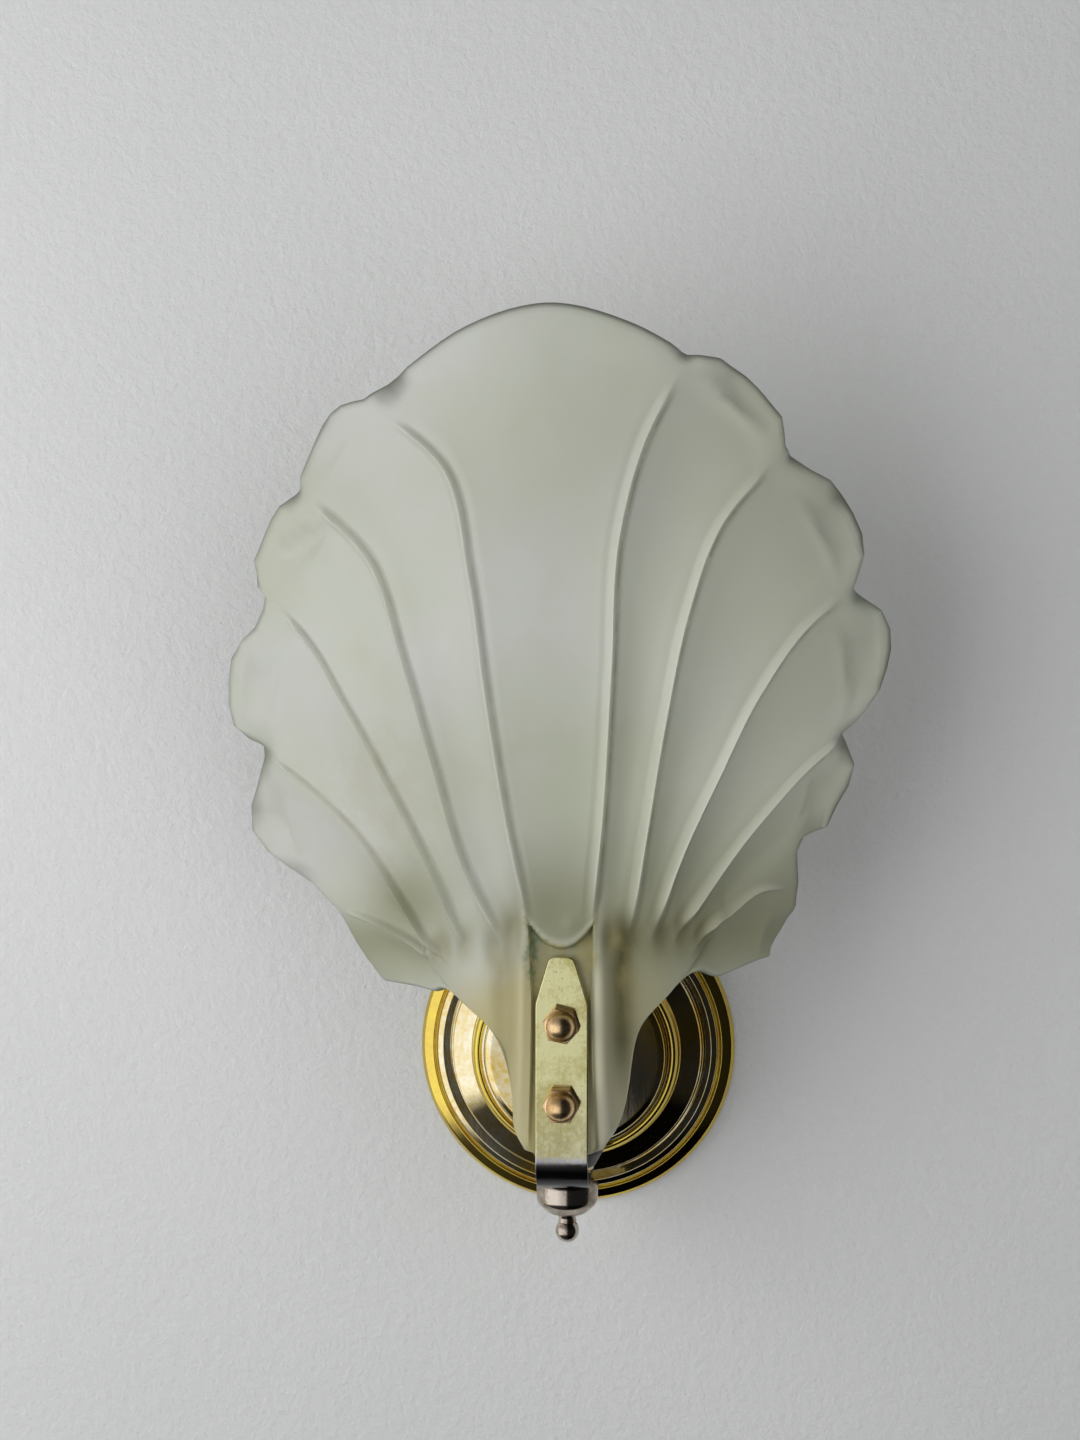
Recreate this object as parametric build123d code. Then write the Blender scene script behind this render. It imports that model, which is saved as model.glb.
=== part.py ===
"""Shell wall sconce: a pressed-glass scallop shade on a bent metal strip, over a spun wall plate.

Millimetres.  +Z is up, the wall is the plane Y = 0 and the front faces -Y, so a point that
stands "out" from the wall has a negative Y.  The origin is the centre of the wall plate, on the wall.
"""

import os
from math import cos, dist, exp, pi, sqrt

from build123d import *

# ---------------------------------------------------------------- driving dimensions
FIT = 0.05  # radial clearance of a screw or tube in its hole

# glass shade: how far its face stands out from the wall
NECK_OUT = 91.0  # ridges of the neck
BELLY_RISE = 26.0  # the belly stands this much further out than the neck
BELLY_FOOT = 30.0  # height where the face starts to swell
BELLY_TOP = 150.0  # height where it is fullest
TIP_FALL = 5.0  # the rim leans back by this at the top
SHADE_TOP = 237.4
SHADE_BOTTOM = -19.0
FAN_BEND = 0.0047  # sideways bend of the fan, 1/mm
NECK_BEND = 0.035  # extra bend at the foot of the neck, 1/mm
NECK_BEND_FADE = 22.0
GLASS = 4.0  # wall of the fan
NECK_GLASS = 7.0  # wall of the neck

# ribs and flutes
RIB_SHARE = 0.18  # half a rib's width, as a share of the flute beside it
MIDDLE_RIB_SHARE = 0.09
RIB_RISE = 1.5
NECK_RIDGE_RISE = 0.8
FLUTE_DEPTH = 1.9
MIDDLE_FLUTE_DEPTH = 1.2

# strip that carries everything
STRIP_WIDTH = 16.0
STRIP = 2.0
STRIP_FRONT_OUT = 90.0
STRIP_BOTTOM = -30.0
FRONT_BEND = 12.0
REAR_BEND = 10.0
STRIP_CREASE = 28.5  # height where the front leg starts to narrow
STRIP_TOP = 43.0
STRIP_TIP_WIDTH = 7.4
STRIP_TIP_LEAN = 0.9
STRIP_REAR_TOP = 12.0
CHANNEL_OUT = 87.5  # floor of the shallow channel in the glass neck
CHANNEL_WIDTH = 17.2
CHANNEL_TOP = 50.5
FELT = 0.5

# clamp through the neck
CLAMP_HEIGHTS = (22.5, -1.9)
CLAMP_SCREW = 3.0
CLAMP_HOLE = 4.4
CLAMP_PLATE = 1.5
CAP_NUT_FLATS = 10.0
CAP_NUT_TURNS = (18.0, 30.0)

# wall plate
PLATE_RADIUS = 53.0
PLATE_SHEET = 0.8
PLATE_OUT = 22.0

# strap on the wall
STRAP_HALF_LENGTH = 42.0
STRAP_WIDTH = 14.0
STRAP = 2.0
STRAP_STAND_OFF = 9.0
STRAP_FOOT = 16.0
WALL_SLOT_SPACING = 68.0
WALL_SLOT_LENGTH = 10.0
WALL_SLOT_HALF_WIDTH = 2.4
EARTH_X = 14.2
EARTH_SCREW = 2.0
BLOCK_X = -14.2

# hollow threaded tube that ties strap, plate and strip together
TUBE = 5.0
TUBE_BORE = 3.5
NUT_FLATS = 14.0

# lampholder, lamp and finial share one upright axis
LAMP_OUT = 60.0
HOLDER = 12.0
HOLDER_TOP = 15.0
LAMP_BULGE = 17.5
LAMP_TOP = 95.0
FINIAL_BEAD = 9.4
FINIAL_BOTTOM = -52.0

os.makedirs("parts", exist_ok=True)


# ---------------------------------------------------------------- small helpers
def save(shape, node):
    """Write one piece to parts/."""
    shape.label = node
    export_step(shape, f"parts/{node}.step")


def upright(height):
    """Place a piece that is turned about the lamp's upright axis."""
    return Pos(0, -LAMP_OUT, height)


def outward(x, out, z):
    """Place a piece so that its own +Z points straight out from the wall."""
    return Pos(x, -out, z) * Rot(90, 0, 0)


def turned(points):
    """Turn a closed (radius, height) outline about the Z axis."""
    outline = Polyline(*points, close=True)
    return revolve(Plane.XZ * make_face(outline), Axis.Z)


def hexagon(flats, height, bore, turn=0.0):
    """A plain hexagon nut with chamfered corners, standing on Z = 0."""
    body = extrude(RegularPolygon(flats / 2, 6, major_radius=False, rotation=turn), height)
    corner = flats / sqrt(3)
    crown = turned([
        (0, -0.2),
        (flats / 2 + 0.1, -0.2),
        (corner + 0.3, 0.9),
        (corner + 0.3, height - 0.9),
        (flats / 2 + 0.1, height + 0.2),
        (0, height + 0.2),
    ])
    return (body & crown) - Cylinder(bore, 3 * height)


def ramp(value, start, end):
    """0 before start, 1 after end, and a smooth step between them."""
    t = min(max((value - start) / (end - start), 0.0), 1.0)
    return t * t * (3 - 2 * t)


# ---------------------------------------------------------------- the glass shade
# Fan lines as (x, z), each from under the neck up to the hub, and then from the hub past the rim:
# the left border, five ribs, the middle, five ribs and the right border.
FAN = (
    ([(-26, -27), (-27, -2), (-29, 12)], [(-37, 20), (-52, 19), (-70, 16)]),
    ([(-23, -27), (-23.5, 0), (-27, 22)], [(-38.5, 40), (-50.2, 48.8), (-69.8, 55.4), (-99, 60)]),
    ([(-20, -27), (-20, 0), (-23, 24)], [(-35, 41.5), (-46.7, 56), (-64.6, 81), (-83.6, 98), (-120, 104)]),
    ([(-17, -27), (-17, 0), (-19.5, 26)], [(-28, 46), (-44.1, 79.2), (-57.5, 107), (-77, 139), (-117, 160)]),
    ([(-14, -27), (-14, 0), (-15, 27)], [(-18.5, 49.5), (-29, 72), (-41, 118), (-55, 162), (-108, 208)]),
    ([(-11, -27), (-11, 0), (-10.8, 28)], [(-10, 51.5), (-18, 104), (-25, 157.5), (-39, 199.5), (-84, 238)]),
    ([(0, -27), (0, 0), (0, 28)], [(0, 52), (-1.5, 110), (-3, 170), (-5, 262)]),
    ([(11, -27), (11, 0), (10.8, 28)], [(9.2, 51.5), (14.1, 111), (17.8, 168.5), (30, 205.3), (66, 250)]),
    ([(14, -27), (14.5, 0), (16, 27)], [(19.6, 50.5), (28, 98), (37.2, 146.3), (53.8, 182.7), (96, 222)]),
    ([(17, -27), (18, 0), (20.5, 26)], [(26.8, 49.5), (40, 84.4), (51.3, 110.6), (75.4, 146), (113, 168)]),
    ([(20, -27), (21.5, 0), (25, 24)], [(33.5, 47.5), (51.5, 75), (68.8, 96.7), (87.1, 110), (114, 121)]),
    ([(23, -27), (25, 0), (30, 22)], [(39, 44.5), (58.9, 63.1), (74, 68), (98, 74)]),
    ([(26, -27), (29, -2), (34, 14)], [(44, 23), (60, 27), (82, 31)]),
)
HUB = 0.3  # share of each fan line that lies below the hub
MIDDLE = 6  # the fan line that carries no rib

# Rim: (notch, points over the lobe), going clockwise from the neck's lower left corner.
RIM = (
    [(-7.8, -19), (-12.3, -16.2), (-14, -4.3), (-15.5, 8), (-19.6, 18), (-26, 24.7), (-37, 29.7), (-57, 31)],
    [(-57, 31), (-65.1, 41.3), (-72.1, 53.7)],
    [(-72.1, 53.7), (-89.8, 65.8), (-100, 72.2), (-104.6, 81), (-97.6, 95.8), (-97.7, 104.9)],
    [(-97.7, 104.9), (-107, 111.5), (-107.8, 124.5), (-104.3, 136.5), (-94.4, 145), (-92.7, 152.2)],
    [(-92.7, 152.2), (-97.8, 158.6), (-94.3, 167.8), (-88.3, 178.5), (-81.1, 185)],
    [(-81.1, 185), (-78.7, 192.5), (-73, 202.7), (-67, 208.8), (-58.8, 210.6)],
    [(-58.8, 210.6), (-45.7, 219.2), (-27.6, 230.7), (-2.6, 237.4), (21.6, 231.5), (38.3, 222.8)],
    [(38.3, 222.8), (47.9, 221.4), (57.5, 216.2), (65.2, 205.5), (66.7, 196.3)],
    [(66.7, 196.3), (73.8, 190), (83.2, 185), (90.7, 170.2), (88.4, 154.5)],
    [(88.4, 154.5), (97.6, 146.2), (99.8, 136), (94.5, 121), (85.8, 110.4)],
    [(85.8, 110.4), (88.8, 103.5), (84.5, 88.7), (79.4, 80.4), (73.2, 78), (71.8, 62.6)],
    [(71.8, 62.6), (70.2, 53.5), (62.5, 40.3)],
    [(62.5, 40.3), (47.5, 35.1), (29.5, 29.5), (21.1, 18.4), (19.5, 2.8), (16, -10.1), (8.6, -19)],
    [(8.6, -19), (0, -19.4), (-7.8, -19)],
)


def face_out(x, z):
    """How far the shade's face stands out, before ribs and flutes."""
    rise = BELLY_RISE * ramp(z, BELLY_FOOT, BELLY_TOP)
    fall = TIP_FALL * (max(z - BELLY_TOP, 0.0) / (SHADE_TOP - BELLY_TOP)) ** 2
    bend = FAN_BEND + NECK_BEND * exp(-(z + 20) / NECK_BEND_FADE)
    return NECK_OUT + rise - fall - bend * x * x


def steepness(x, z):
    """Length of the face's slope, so that a wall measured along Y keeps its true thickness."""
    step = 1.0
    slope_x = (face_out(x + step, z) - face_out(x - step, z)) / (2 * step)
    slope_z = (face_out(x, z + step) - face_out(x, z - step)) / (2 * step)
    return sqrt(1 + slope_x * slope_x + slope_z * slope_z)


def back_out(x, z):
    """How far the shade's smooth back stands out."""
    wall = NECK_GLASS + (GLASS - NECK_GLASS) * ramp(z, 45, 80)
    return face_out(x, z) - wall * steepness(x, z)


def along(points, knots, u):
    """Point at parameter u of a smooth curve that passes each (x, z) point at its knot."""
    last = len(points) - 1
    i = min(max(sum(knot <= u for knot in knots) - 1, 0), last - 1)

    def chord(k):
        gap = knots[k + 1] - knots[k]
        return [(q - p) / gap for p, q in zip(points[k], points[k + 1])]

    def slope(k):
        if k in (0, last):
            return chord(min(k, last - 1))
        before, after = knots[k] - knots[k - 1], knots[k + 1] - knots[k]
        return [(c * after + d * before) / (before + after) for c, d in zip(chord(k - 1), chord(k))]

    span = knots[i + 1] - knots[i]
    t = (u - knots[i]) / span
    start, leave, end, arrive = points[i], slope(i), points[i + 1], slope(i + 1)
    return [
        (2 * t**3 - 3 * t**2 + 1) * start[axis]
        + (t**3 - 2 * t**2 + t) * span * leave[axis]
        + (3 * t**2 - 2 * t**3) * end[axis]
        + (t**3 - t**2) * span * arrive[axis]
        for axis in (0, 1)
    ]


def line_knots(neck, fan):
    """Knots of one fan line: 0 under the neck, HUB at the hub and 1 past the rim, by distance."""
    points = neck + fan
    reach = [0.0]
    for here, there in zip(points, points[1:]):
        reach.append(reach[-1] + dist(here, there))
    hub = reach[len(neck)]
    return [HUB * r / hub if r < hub else HUB + (1 - HUB) * (r - hub) / (reach[-1] - hub) for r in reach]


FAN_LINES = [(neck + fan, line_knots(neck, fan)) for neck, fan in FAN]
FLUTES = len(FAN_LINES) - 1


def fan_row(v):
    """Where the fan lines are at share v of their length, and how far along the row each is."""
    row = [along(points, knots, v) for points, knots in FAN_LINES]
    reach = [0.0]
    for here, there in zip(row, row[1:]):
        reach.append(reach[-1] + dist(here, there))
    return row, reach


def flute_depth(flute, share):
    """Depth at a share of one flute's width; the two flutes beside the middle line are one."""
    if flute == MIDDLE - 1:
        return MIDDLE_FLUTE_DEPTH * share * (2 - share)
    if flute == MIDDLE:
        return MIDDLE_FLUTE_DEPTH * (1 - share * share)
    return FLUTE_DEPTH * 4 * share * (1 - share)


def rib_share(flute):
    """Half a rib's width as a share of this flute's width."""
    return MIDDLE_RIB_SHARE if flute in (MIDDLE - 1, MIDDLE) else RIB_SHARE


def relief(flute, share, width, v):
    """Rib and flute height at a share of one flute's width."""
    before_rim = 1 - ramp(v, 0.86, 0.98)
    on_fan = ramp(v, HUB - 0.02, HUB + 0.13) * before_rim
    height = -flute_depth(flute, share) * on_fan * min(width / 20, 1)
    for rib, away in ((flute, share), (flute + 1, 1 - share)):
        if rib in (0, MIDDLE, FLUTES) or away > rib_share(flute):
            continue
        beside_channel = abs(rib - MIDDLE) == 1
        crest = max(RIB_RISE * on_fan, NECK_RIDGE_RISE * before_rim if beside_channel else 0)
        height += crest * cos(pi / 2 * away / rib_share(flute)) ** 2
    return height


def face_row(v):
    """One spline across the fluted face, with its points closer together beside each rib."""
    row, reach = fan_row(v)
    points, knots = [], []
    for flute in range(FLUTES):
        width = reach[flute + 1] - reach[flute]
        near = rib_share(flute)
        for share in (0, near / 2, near, 0.5, 1 - near, 1 - near / 2):
            x, z = along(row, reach, reach[flute] + share * width)
            points.append((x, -face_out(x, z) - relief(flute, share, width, v), z))
            knots.append((flute + share) / FLUTES)
    x, z = row[-1]
    return Edge.make_spline(points + [(x, -face_out(x, z), z)], parameters=knots + [1.0])


def back_row(v):
    """One spline across the smooth back."""
    row, reach = fan_row(v)
    halves = range(2 * FLUTES + 1)
    middles = [(a + b) / 2 for a, b in zip(reach, reach[1:])]
    places = [along(row, reach, u) for u in sorted(reach + middles)]
    points = [(x, -back_out(x, z), z) for x, z in places]
    return Edge.make_spline(points, parameters=[i / (2 * FLUTES) for i in halves])


def towards_wall(rows):
    """Everything between a surface through the rows and a plane well behind it."""
    surface = Shell.make_loft([Wire([row]) for row in rows])
    return extrude(surface.faces()[0], amount=140, dir=(0, 1, 0))


def rim_prism():
    """The lobed outline of the shade, carried through from the wall to beyond its face."""
    lobes = [Spline(*[(x, 0, z) for x, z in lobe]) for lobe in RIM]
    face = Face(Wire(lobes))
    if face.normal_at().Y > 0:
        face = -face
    return extrude(face, amount=140, dir=(0, -1, 0))


NECK_ROWS, FAN_ROWS = 8, 18
ROWS = [HUB * i / NECK_ROWS for i in range(NECK_ROWS)]
ROWS += [HUB + (1 - HUB) * i / FAN_ROWS for i in range(FAN_ROWS + 1)]


def strip_channel():
    """The shallow channel that the strip lies in: a flat floor that leans out as the strip does."""
    lean = STRIP_TIP_LEAN / (STRIP_TOP - STRIP_CREASE)
    top_out = CHANNEL_OUT + lean * (CHANNEL_TOP + 2 - STRIP_CREASE)
    side = Plane.YZ * make_face(Polyline(
        (-CHANNEL_OUT, SHADE_BOTTOM - 5),
        (-CHANNEL_OUT, STRIP_CREASE),
        (-top_out, CHANNEL_TOP + 2),
        (-110, CHANNEL_TOP + 2),
        (-110, SHADE_BOTTOM - 5),
        close=True,
    ))
    radius = CHANNEL_WIDTH / 2
    height = CHANNEL_TOP - radius - (SHADE_BOTTOM - 5)
    front = Pos(0, SHADE_BOTTOM - 5 + height / 2) * Rectangle(CHANNEL_WIDTH, height)
    front += Pos(0, CHANNEL_TOP - radius) * Circle(radius)
    return extrude(side, CHANNEL_WIDTH, both=True) & extrude(Plane.XZ * front, 120)


def behind_shade():
    """All the room between the shade's back and the wall."""
    return towards_wall([back_row(v) for v in ROWS])


def glass_shade(room_behind):
    """The pressed shade: ribbed and fluted outside, smooth inside, open towards the wall."""
    body = rim_prism() & towards_wall([face_row(v) for v in ROWS])
    body = body - room_behind - strip_channel()
    for height in CLAMP_HEIGHTS:
        body -= outward(0, 90, height) * Cylinder(CLAMP_HOLE, 60)
    return body


# ---------------------------------------------------------------- the strip
def strip_profile():
    """Side view (out, z) of the strip: up the wall plate, round under the lamp and up the front."""
    rear = PLATE_OUT
    rear_centre = rear + REAR_BEND
    front_centre = STRIP_FRONT_OUT - FRONT_BEND
    half = sqrt(0.5)
    outer = Line((rear, STRIP_REAR_TOP), (rear, STRIP_BOTTOM + REAR_BEND))
    outer += ThreePointArc(
        (rear, STRIP_BOTTOM + REAR_BEND),
        (rear_centre - REAR_BEND * half, STRIP_BOTTOM + REAR_BEND * (1 - half)),
        (rear_centre, STRIP_BOTTOM),
    )
    outer += Line((rear_centre, STRIP_BOTTOM), (front_centre, STRIP_BOTTOM))
    outer += ThreePointArc(
        (front_centre, STRIP_BOTTOM),
        (front_centre + FRONT_BEND * half, STRIP_BOTTOM + FRONT_BEND * (1 - half)),
        (STRIP_FRONT_OUT, STRIP_BOTTOM + FRONT_BEND),
    )
    outer += Line((STRIP_FRONT_OUT, STRIP_BOTTOM + FRONT_BEND), (STRIP_FRONT_OUT, STRIP_CREASE))
    outer += Line((STRIP_FRONT_OUT, STRIP_CREASE), (STRIP_FRONT_OUT + STRIP_TIP_LEAN, STRIP_TOP))
    inner_rear, inner_front = REAR_BEND - STRIP, FRONT_BEND - STRIP
    back = STRIP_FRONT_OUT - STRIP
    floor = STRIP_BOTTOM + STRIP
    inner = Line((STRIP_FRONT_OUT + STRIP_TIP_LEAN, STRIP_TOP), (back + STRIP_TIP_LEAN, STRIP_TOP))
    inner += Line((back + STRIP_TIP_LEAN, STRIP_TOP), (back, STRIP_CREASE))
    inner += Line((back, STRIP_CREASE), (back, floor + inner_front))
    inner += ThreePointArc(
        (back, floor + inner_front),
        (front_centre + inner_front * half, floor + inner_front * (1 - half)),
        (front_centre, floor),
    )
    inner += Line((front_centre, floor), (rear_centre, floor))
    inner += ThreePointArc(
        (rear_centre, floor),
        (rear_centre - inner_rear * half, floor + inner_rear * (1 - half)),
        (rear + STRIP, floor + inner_rear),
    )
    inner += Line((rear + STRIP, floor + inner_rear), (rear + STRIP, STRIP_REAR_TOP))
    inner += Line((rear + STRIP, STRIP_REAR_TOP), (rear, STRIP_REAR_TOP))
    return make_face(outer + inner)


def bracket_strip():
    """One flat strip bent to a J, with a tapered tip, a rounded rear end and five screw holes."""
    # the profile is drawn with x outwards, so it is laid in the plane whose x runs towards -Y
    side_view = Plane(origin=(0, 0, 0), x_dir=(0, -1, 0), z_dir=(-1, 0, 0))
    body = extrude(side_view * strip_profile(), STRIP_WIDTH / 2, both=True)
    tip = Polyline(
        (-STRIP_WIDTH / 2, STRIP_BOTTOM - 1),
        (-STRIP_WIDTH / 2, STRIP_CREASE),
        (-STRIP_TIP_WIDTH / 2, STRIP_TOP),
        (STRIP_TIP_WIDTH / 2, STRIP_TOP),
        (STRIP_WIDTH / 2, STRIP_CREASE),
        (STRIP_WIDTH / 2, STRIP_BOTTOM - 1),
        close=True,
    )
    outline = make_face(tip)
    outline = fillet(outline.vertices().group_by(Axis.Y)[-1], 1.6)
    front_leg = extrude(Plane.XZ * outline, 130)
    end_radius = STRIP_WIDTH / 2
    end_centre = STRIP_REAR_TOP - end_radius
    leg_height = end_centre - STRIP_BOTTOM + 1
    rounded = Pos(0, end_centre - leg_height / 2) * Rectangle(STRIP_WIDTH, leg_height)
    rounded += Pos(0, end_centre) * Circle(end_radius)
    rear_leg = Pos(0, -PLATE_OUT + 1, 0) * extrude(Plane.XZ * rounded, STRIP + 2)
    beyond = Pos(0, -PLATE_OUT - STRIP - 40, 0) * Box(40, 80, 160)
    body = (body & rear_leg) + (body & beyond & front_leg)
    for height in CLAMP_HEIGHTS:
        body -= outward(0, STRIP_FRONT_OUT, height) * Cylinder(CLAMP_SCREW + 0.2, 12)
    body -= outward(0, PLATE_OUT, 0) * Cylinder(TUBE + FIT, 12)
    body -= upright(STRIP_BOTTOM) * Cylinder(TUBE + FIT, 12)
    return body


# ---------------------------------------------------------------- wall side
def wall_plate():
    """Spun sheet canopy: rolled rim, bead, cove and a raised middle disc with the tube hole."""
    # (radius, out) of the outer face, from the wall to the middle
    face = (
        Line((0, 0), (PLATE_RADIUS, 0))
        + ThreePointArc((PLATE_RADIUS, 0), (51.5, 3.6), (48.0, 5.0))
        + Line((48.0, 5.0), (47.3, 4.4))
        + ThreePointArc((47.3, 4.4), (46.3, 6.5), (44.2, 6.6))
        + Line((44.2, 6.6), (42.4, 7.4))
        + ThreePointArc((42.4, 7.4), (38.9, 13.2), (33.6, 16.4))
        + Line((33.6, 16.4), (32.4, 18.3))
        + Line((32.4, 18.3), (30.4, 18.1))
        + ThreePointArc((30.4, 18.1), (29.6, 20.8), (27.0, PLATE_OUT))
        + Line((27.0, PLATE_OUT), (0, PLATE_OUT))
        + Line((0, PLATE_OUT), (0, 0))
    )
    # the hollow side keeps the main steps only
    hollow = Polyline(
        (0, -1),
        (PLATE_RADIUS - PLATE_SHEET, -1),
        (PLATE_RADIUS - PLATE_SHEET, 0.6),
        (50.6, 3.2),
        (47.2, 3.9),
        (42.6, 5.6),
        (40.6, 8.6),
        (37.4, 12.8),
        (31.6, 16.4),
        (29.8, 17.2),
        (28.4, 19.8),
        (26.6, PLATE_OUT - PLATE_SHEET),
        (0, PLATE_OUT - PLATE_SHEET),
        close=True,
    )
    body = revolve(Plane.XZ * (make_face(face) - make_face(hollow)), Axis.Z)
    body -= Pos(0, 0, PLATE_OUT) * Cylinder(TUBE + 0.25, 10)
    return outward(0, 0, 0) * body


def mounting_strap():
    """Hat-shaped steel strap: two slotted feet on the wall and a raised bridge with the tube hole."""
    foot_in = STRAP_HALF_LENGTH - STRAP_FOOT
    bridge = foot_in - 6
    top = STRAP_STAND_OFF + STRAP
    right = [
        (bridge + 1, STRAP_STAND_OFF),
        (foot_in, 0),
        (STRAP_HALF_LENGTH, 0),
        (STRAP_HALF_LENGTH, STRAP),
        (foot_in + 1, STRAP),
        (bridge, top),
    ]
    left = [(-x, out) for x, out in reversed(right)]
    side = Polyline(*right, *left, close=True)
    body = extrude(Plane.XZ * make_face(side), STRAP_WIDTH / 2, both=True)
    body -= Pos(0, 0, STRAP_STAND_OFF) * Cylinder(TUBE + FIT, 8)
    body -= Pos(EARTH_X, 0, STRAP_STAND_OFF) * Cylinder(EARTH_SCREW + FIT, 8)
    for side_x in (-1, 1):
        slot = SlotOverall(WALL_SLOT_LENGTH, 2 * WALL_SLOT_HALF_WIDTH)
        body -= Pos(side_x * WALL_SLOT_SPACING / 2, 0, -1) * extrude(slot, STRAP + 2)
    return outward(0, 0, 0) * body


def plate_tube():
    """Hollow threaded tube from behind the strap's bridge to the front of the plate's nut."""
    start = STRAP_STAND_OFF - 2.5
    return outward(0, start, 0) * washer(TUBE, TUBE_BORE, TUBE_END - start)


def washer(outer, bore, thickness):
    """Flat ring standing on Z = 0."""
    return extrude(Circle(outer) - Circle(bore), thickness)


REAR_NUT_AT = STRAP_STAND_OFF + STRAP
STRIP_REAR_FACE = PLATE_OUT + STRIP
WASHER = 0.8
TUBE_NUT = 4.0
TUBE_END = STRIP_REAR_FACE + WASHER + TUBE_NUT + 1.8


def end_bush():
    """Plastic bush over the tube's front end, with a rounded lip where the leads come out."""
    thread = TUBE + FIT
    mouth = TUBE_BORE + 0.4
    profile = [(thread, -1.6), (6.2, -1.6), (6.2, 0.6), (5.6, 1.2), (mouth, 1.2), (mouth, 0), (thread, 0)]
    return outward(0, TUBE_END, 0) * turned(profile)


def terminal_places():
    """(x, z) of the four terminal screws."""
    return [(BLOCK_X + side_x * 2.4, side_z * 4.2) for side_x in (-1, 1) for side_z in (-1, 1)]


def terminal_block():
    """Two-way connector block on the strap's bridge, with its wire ways and screw wells."""
    height = 8.0
    body = outward(BLOCK_X, REAR_NUT_AT + height / 2, 0) * Box(10, STRAP_WIDTH, height)
    for side_x in (-1, 1):
        body -= Pos(BLOCK_X + side_x * 2.4, -REAR_NUT_AT - 3.0, 0) * Cylinder(1.3, 2 * STRAP_WIDTH)
    for x, z in terminal_places():
        body -= outward(x, REAR_NUT_AT + 6.0, z) * Cylinder(1.5, 5)
    return body


def terminal_screws():
    """The block's four slotted screws, down in their wells."""
    shape = Cylinder(1.45, 2.2) - Pos(0, 0, 1.1) * Box(3, 0.5, 0.8)
    return Compound([outward(x, REAR_NUT_AT + 4.6, z) * shape for x, z in terminal_places()])


def earth_screw():
    """Earth screw with its cupped washer, on the strap's bridge."""
    body = Pos(0, 0, -3.0) * Cylinder(EARTH_SCREW, 7.0) + Pos(0, 0, 1.6) * Cylinder(3.6, 2.2)
    body += Pos(0, 0, 0.25) * Cylinder(4.2, 0.5)
    body -= Pos(0, 0, 2.6) * Box(9, 0.9, 1.4)
    return outward(EARTH_X, REAR_NUT_AT, 0) * body


# ---------------------------------------------------------------- clamp through the glass neck
def neck_sheet(out, thickness, width, low, high, hole):
    """A flat rounded pad with the two screw holes, its wall side at the given distance."""
    middle = (low + high) / 2
    plate = Pos(0, middle) * RectangleRounded(width, high - low, 2.0)
    for height in CLAMP_HEIGHTS:
        plate -= Pos(0, height) * Circle(hole)
    return Pos(0, -out, 0) * extrude(Plane.XZ * plate, thickness)


PAD_LOW, PAD_HIGH = -9.5, 30.0
GLASS_BACK = NECK_OUT - NECK_GLASS
PAD_BACK = GLASS_BACK - 3.2
PLATE_BACK = PAD_BACK - CLAMP_PLATE
HEAD = 3.0


def rear_pad(room_behind):
    """Rubber pad moulded to the hollow back of the neck."""
    return neck_sheet(PAD_BACK, 12, 16, PAD_LOW, PAD_HIGH, CLAMP_SCREW + 0.2) & room_behind


def clamp_screws():
    """Two slotted cheese-head screws, put in from behind."""
    length = STRIP_FRONT_OUT + 5 - PLATE_BACK
    body = Pos(0, 0, length / 2) * Cylinder(CLAMP_SCREW, length) + Pos(0, 0, -HEAD / 2) * Cylinder(4.8, HEAD)
    body -= Pos(0, 0, -HEAD) * Box(12, 1.2, 2.4)
    return Compound([outward(0, PLATE_BACK, height) * body for height in CLAMP_HEIGHTS])


def hole_bushes():
    """Soft sleeves that keep the screws off the glass."""
    ring = extrude(Circle(CLAMP_HOLE - FIT) - Circle(CLAMP_SCREW + FIT), CHANNEL_OUT - GLASS_BACK - 0.2)
    return Compound([outward(0, GLASS_BACK + 0.1, height) * ring for height in CLAMP_HEIGHTS])


def cap_nut(height, turn):
    """Domed cap nut on the front of the strip: chamfered hexagon, round dome and blind bore."""
    collar, dome, dome_at = 4.4, 4.0, 5.0
    body = extrude(RegularPolygon(CAP_NUT_FLATS / 2, 6, major_radius=False, rotation=turn), collar)
    corner = CAP_NUT_FLATS / sqrt(3)
    cone = turned([
        (0, -0.2),
        (CAP_NUT_FLATS / 2 - 0.1, -0.2),
        (corner + 0.2, 0.8),
        (corner + 0.2, collar - 1.1),
        (CAP_NUT_FLATS / 2 - 0.4, collar + 0.2),
        (0, collar + 0.2),
    ])
    body = (body & cone) + Pos(0, 0, dome_at / 2) * Cylinder(dome, dome_at)
    body += Pos(0, 0, dome_at) * Sphere(dome)
    body -= Cylinder(CLAMP_SCREW + FIT, 11)
    return outward(0, STRIP_FRONT_OUT, height) * body


# ---------------------------------------------------------------- lampholder, lamp and finial
LEG_TOP = STRIP_BOTTOM + STRIP
CUP_FOOT = LEG_TOP + WASHER
CUP_TOP = -8.0
CORE_FOOT = -15.0
CORE_DISC = -9.0
CORE_BOSS = -6.5
CORE_WELL_X = 7.8
TONGUE = 0.4
TONGUE_FOOT = -7.8
CONTACT_FOOT = -5.0
LAMP_NECK = 6.3
LAMP_FOOT = 11.0
LAMP_SKIN = 0.7
LAMP_TIP = 3.5


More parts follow.
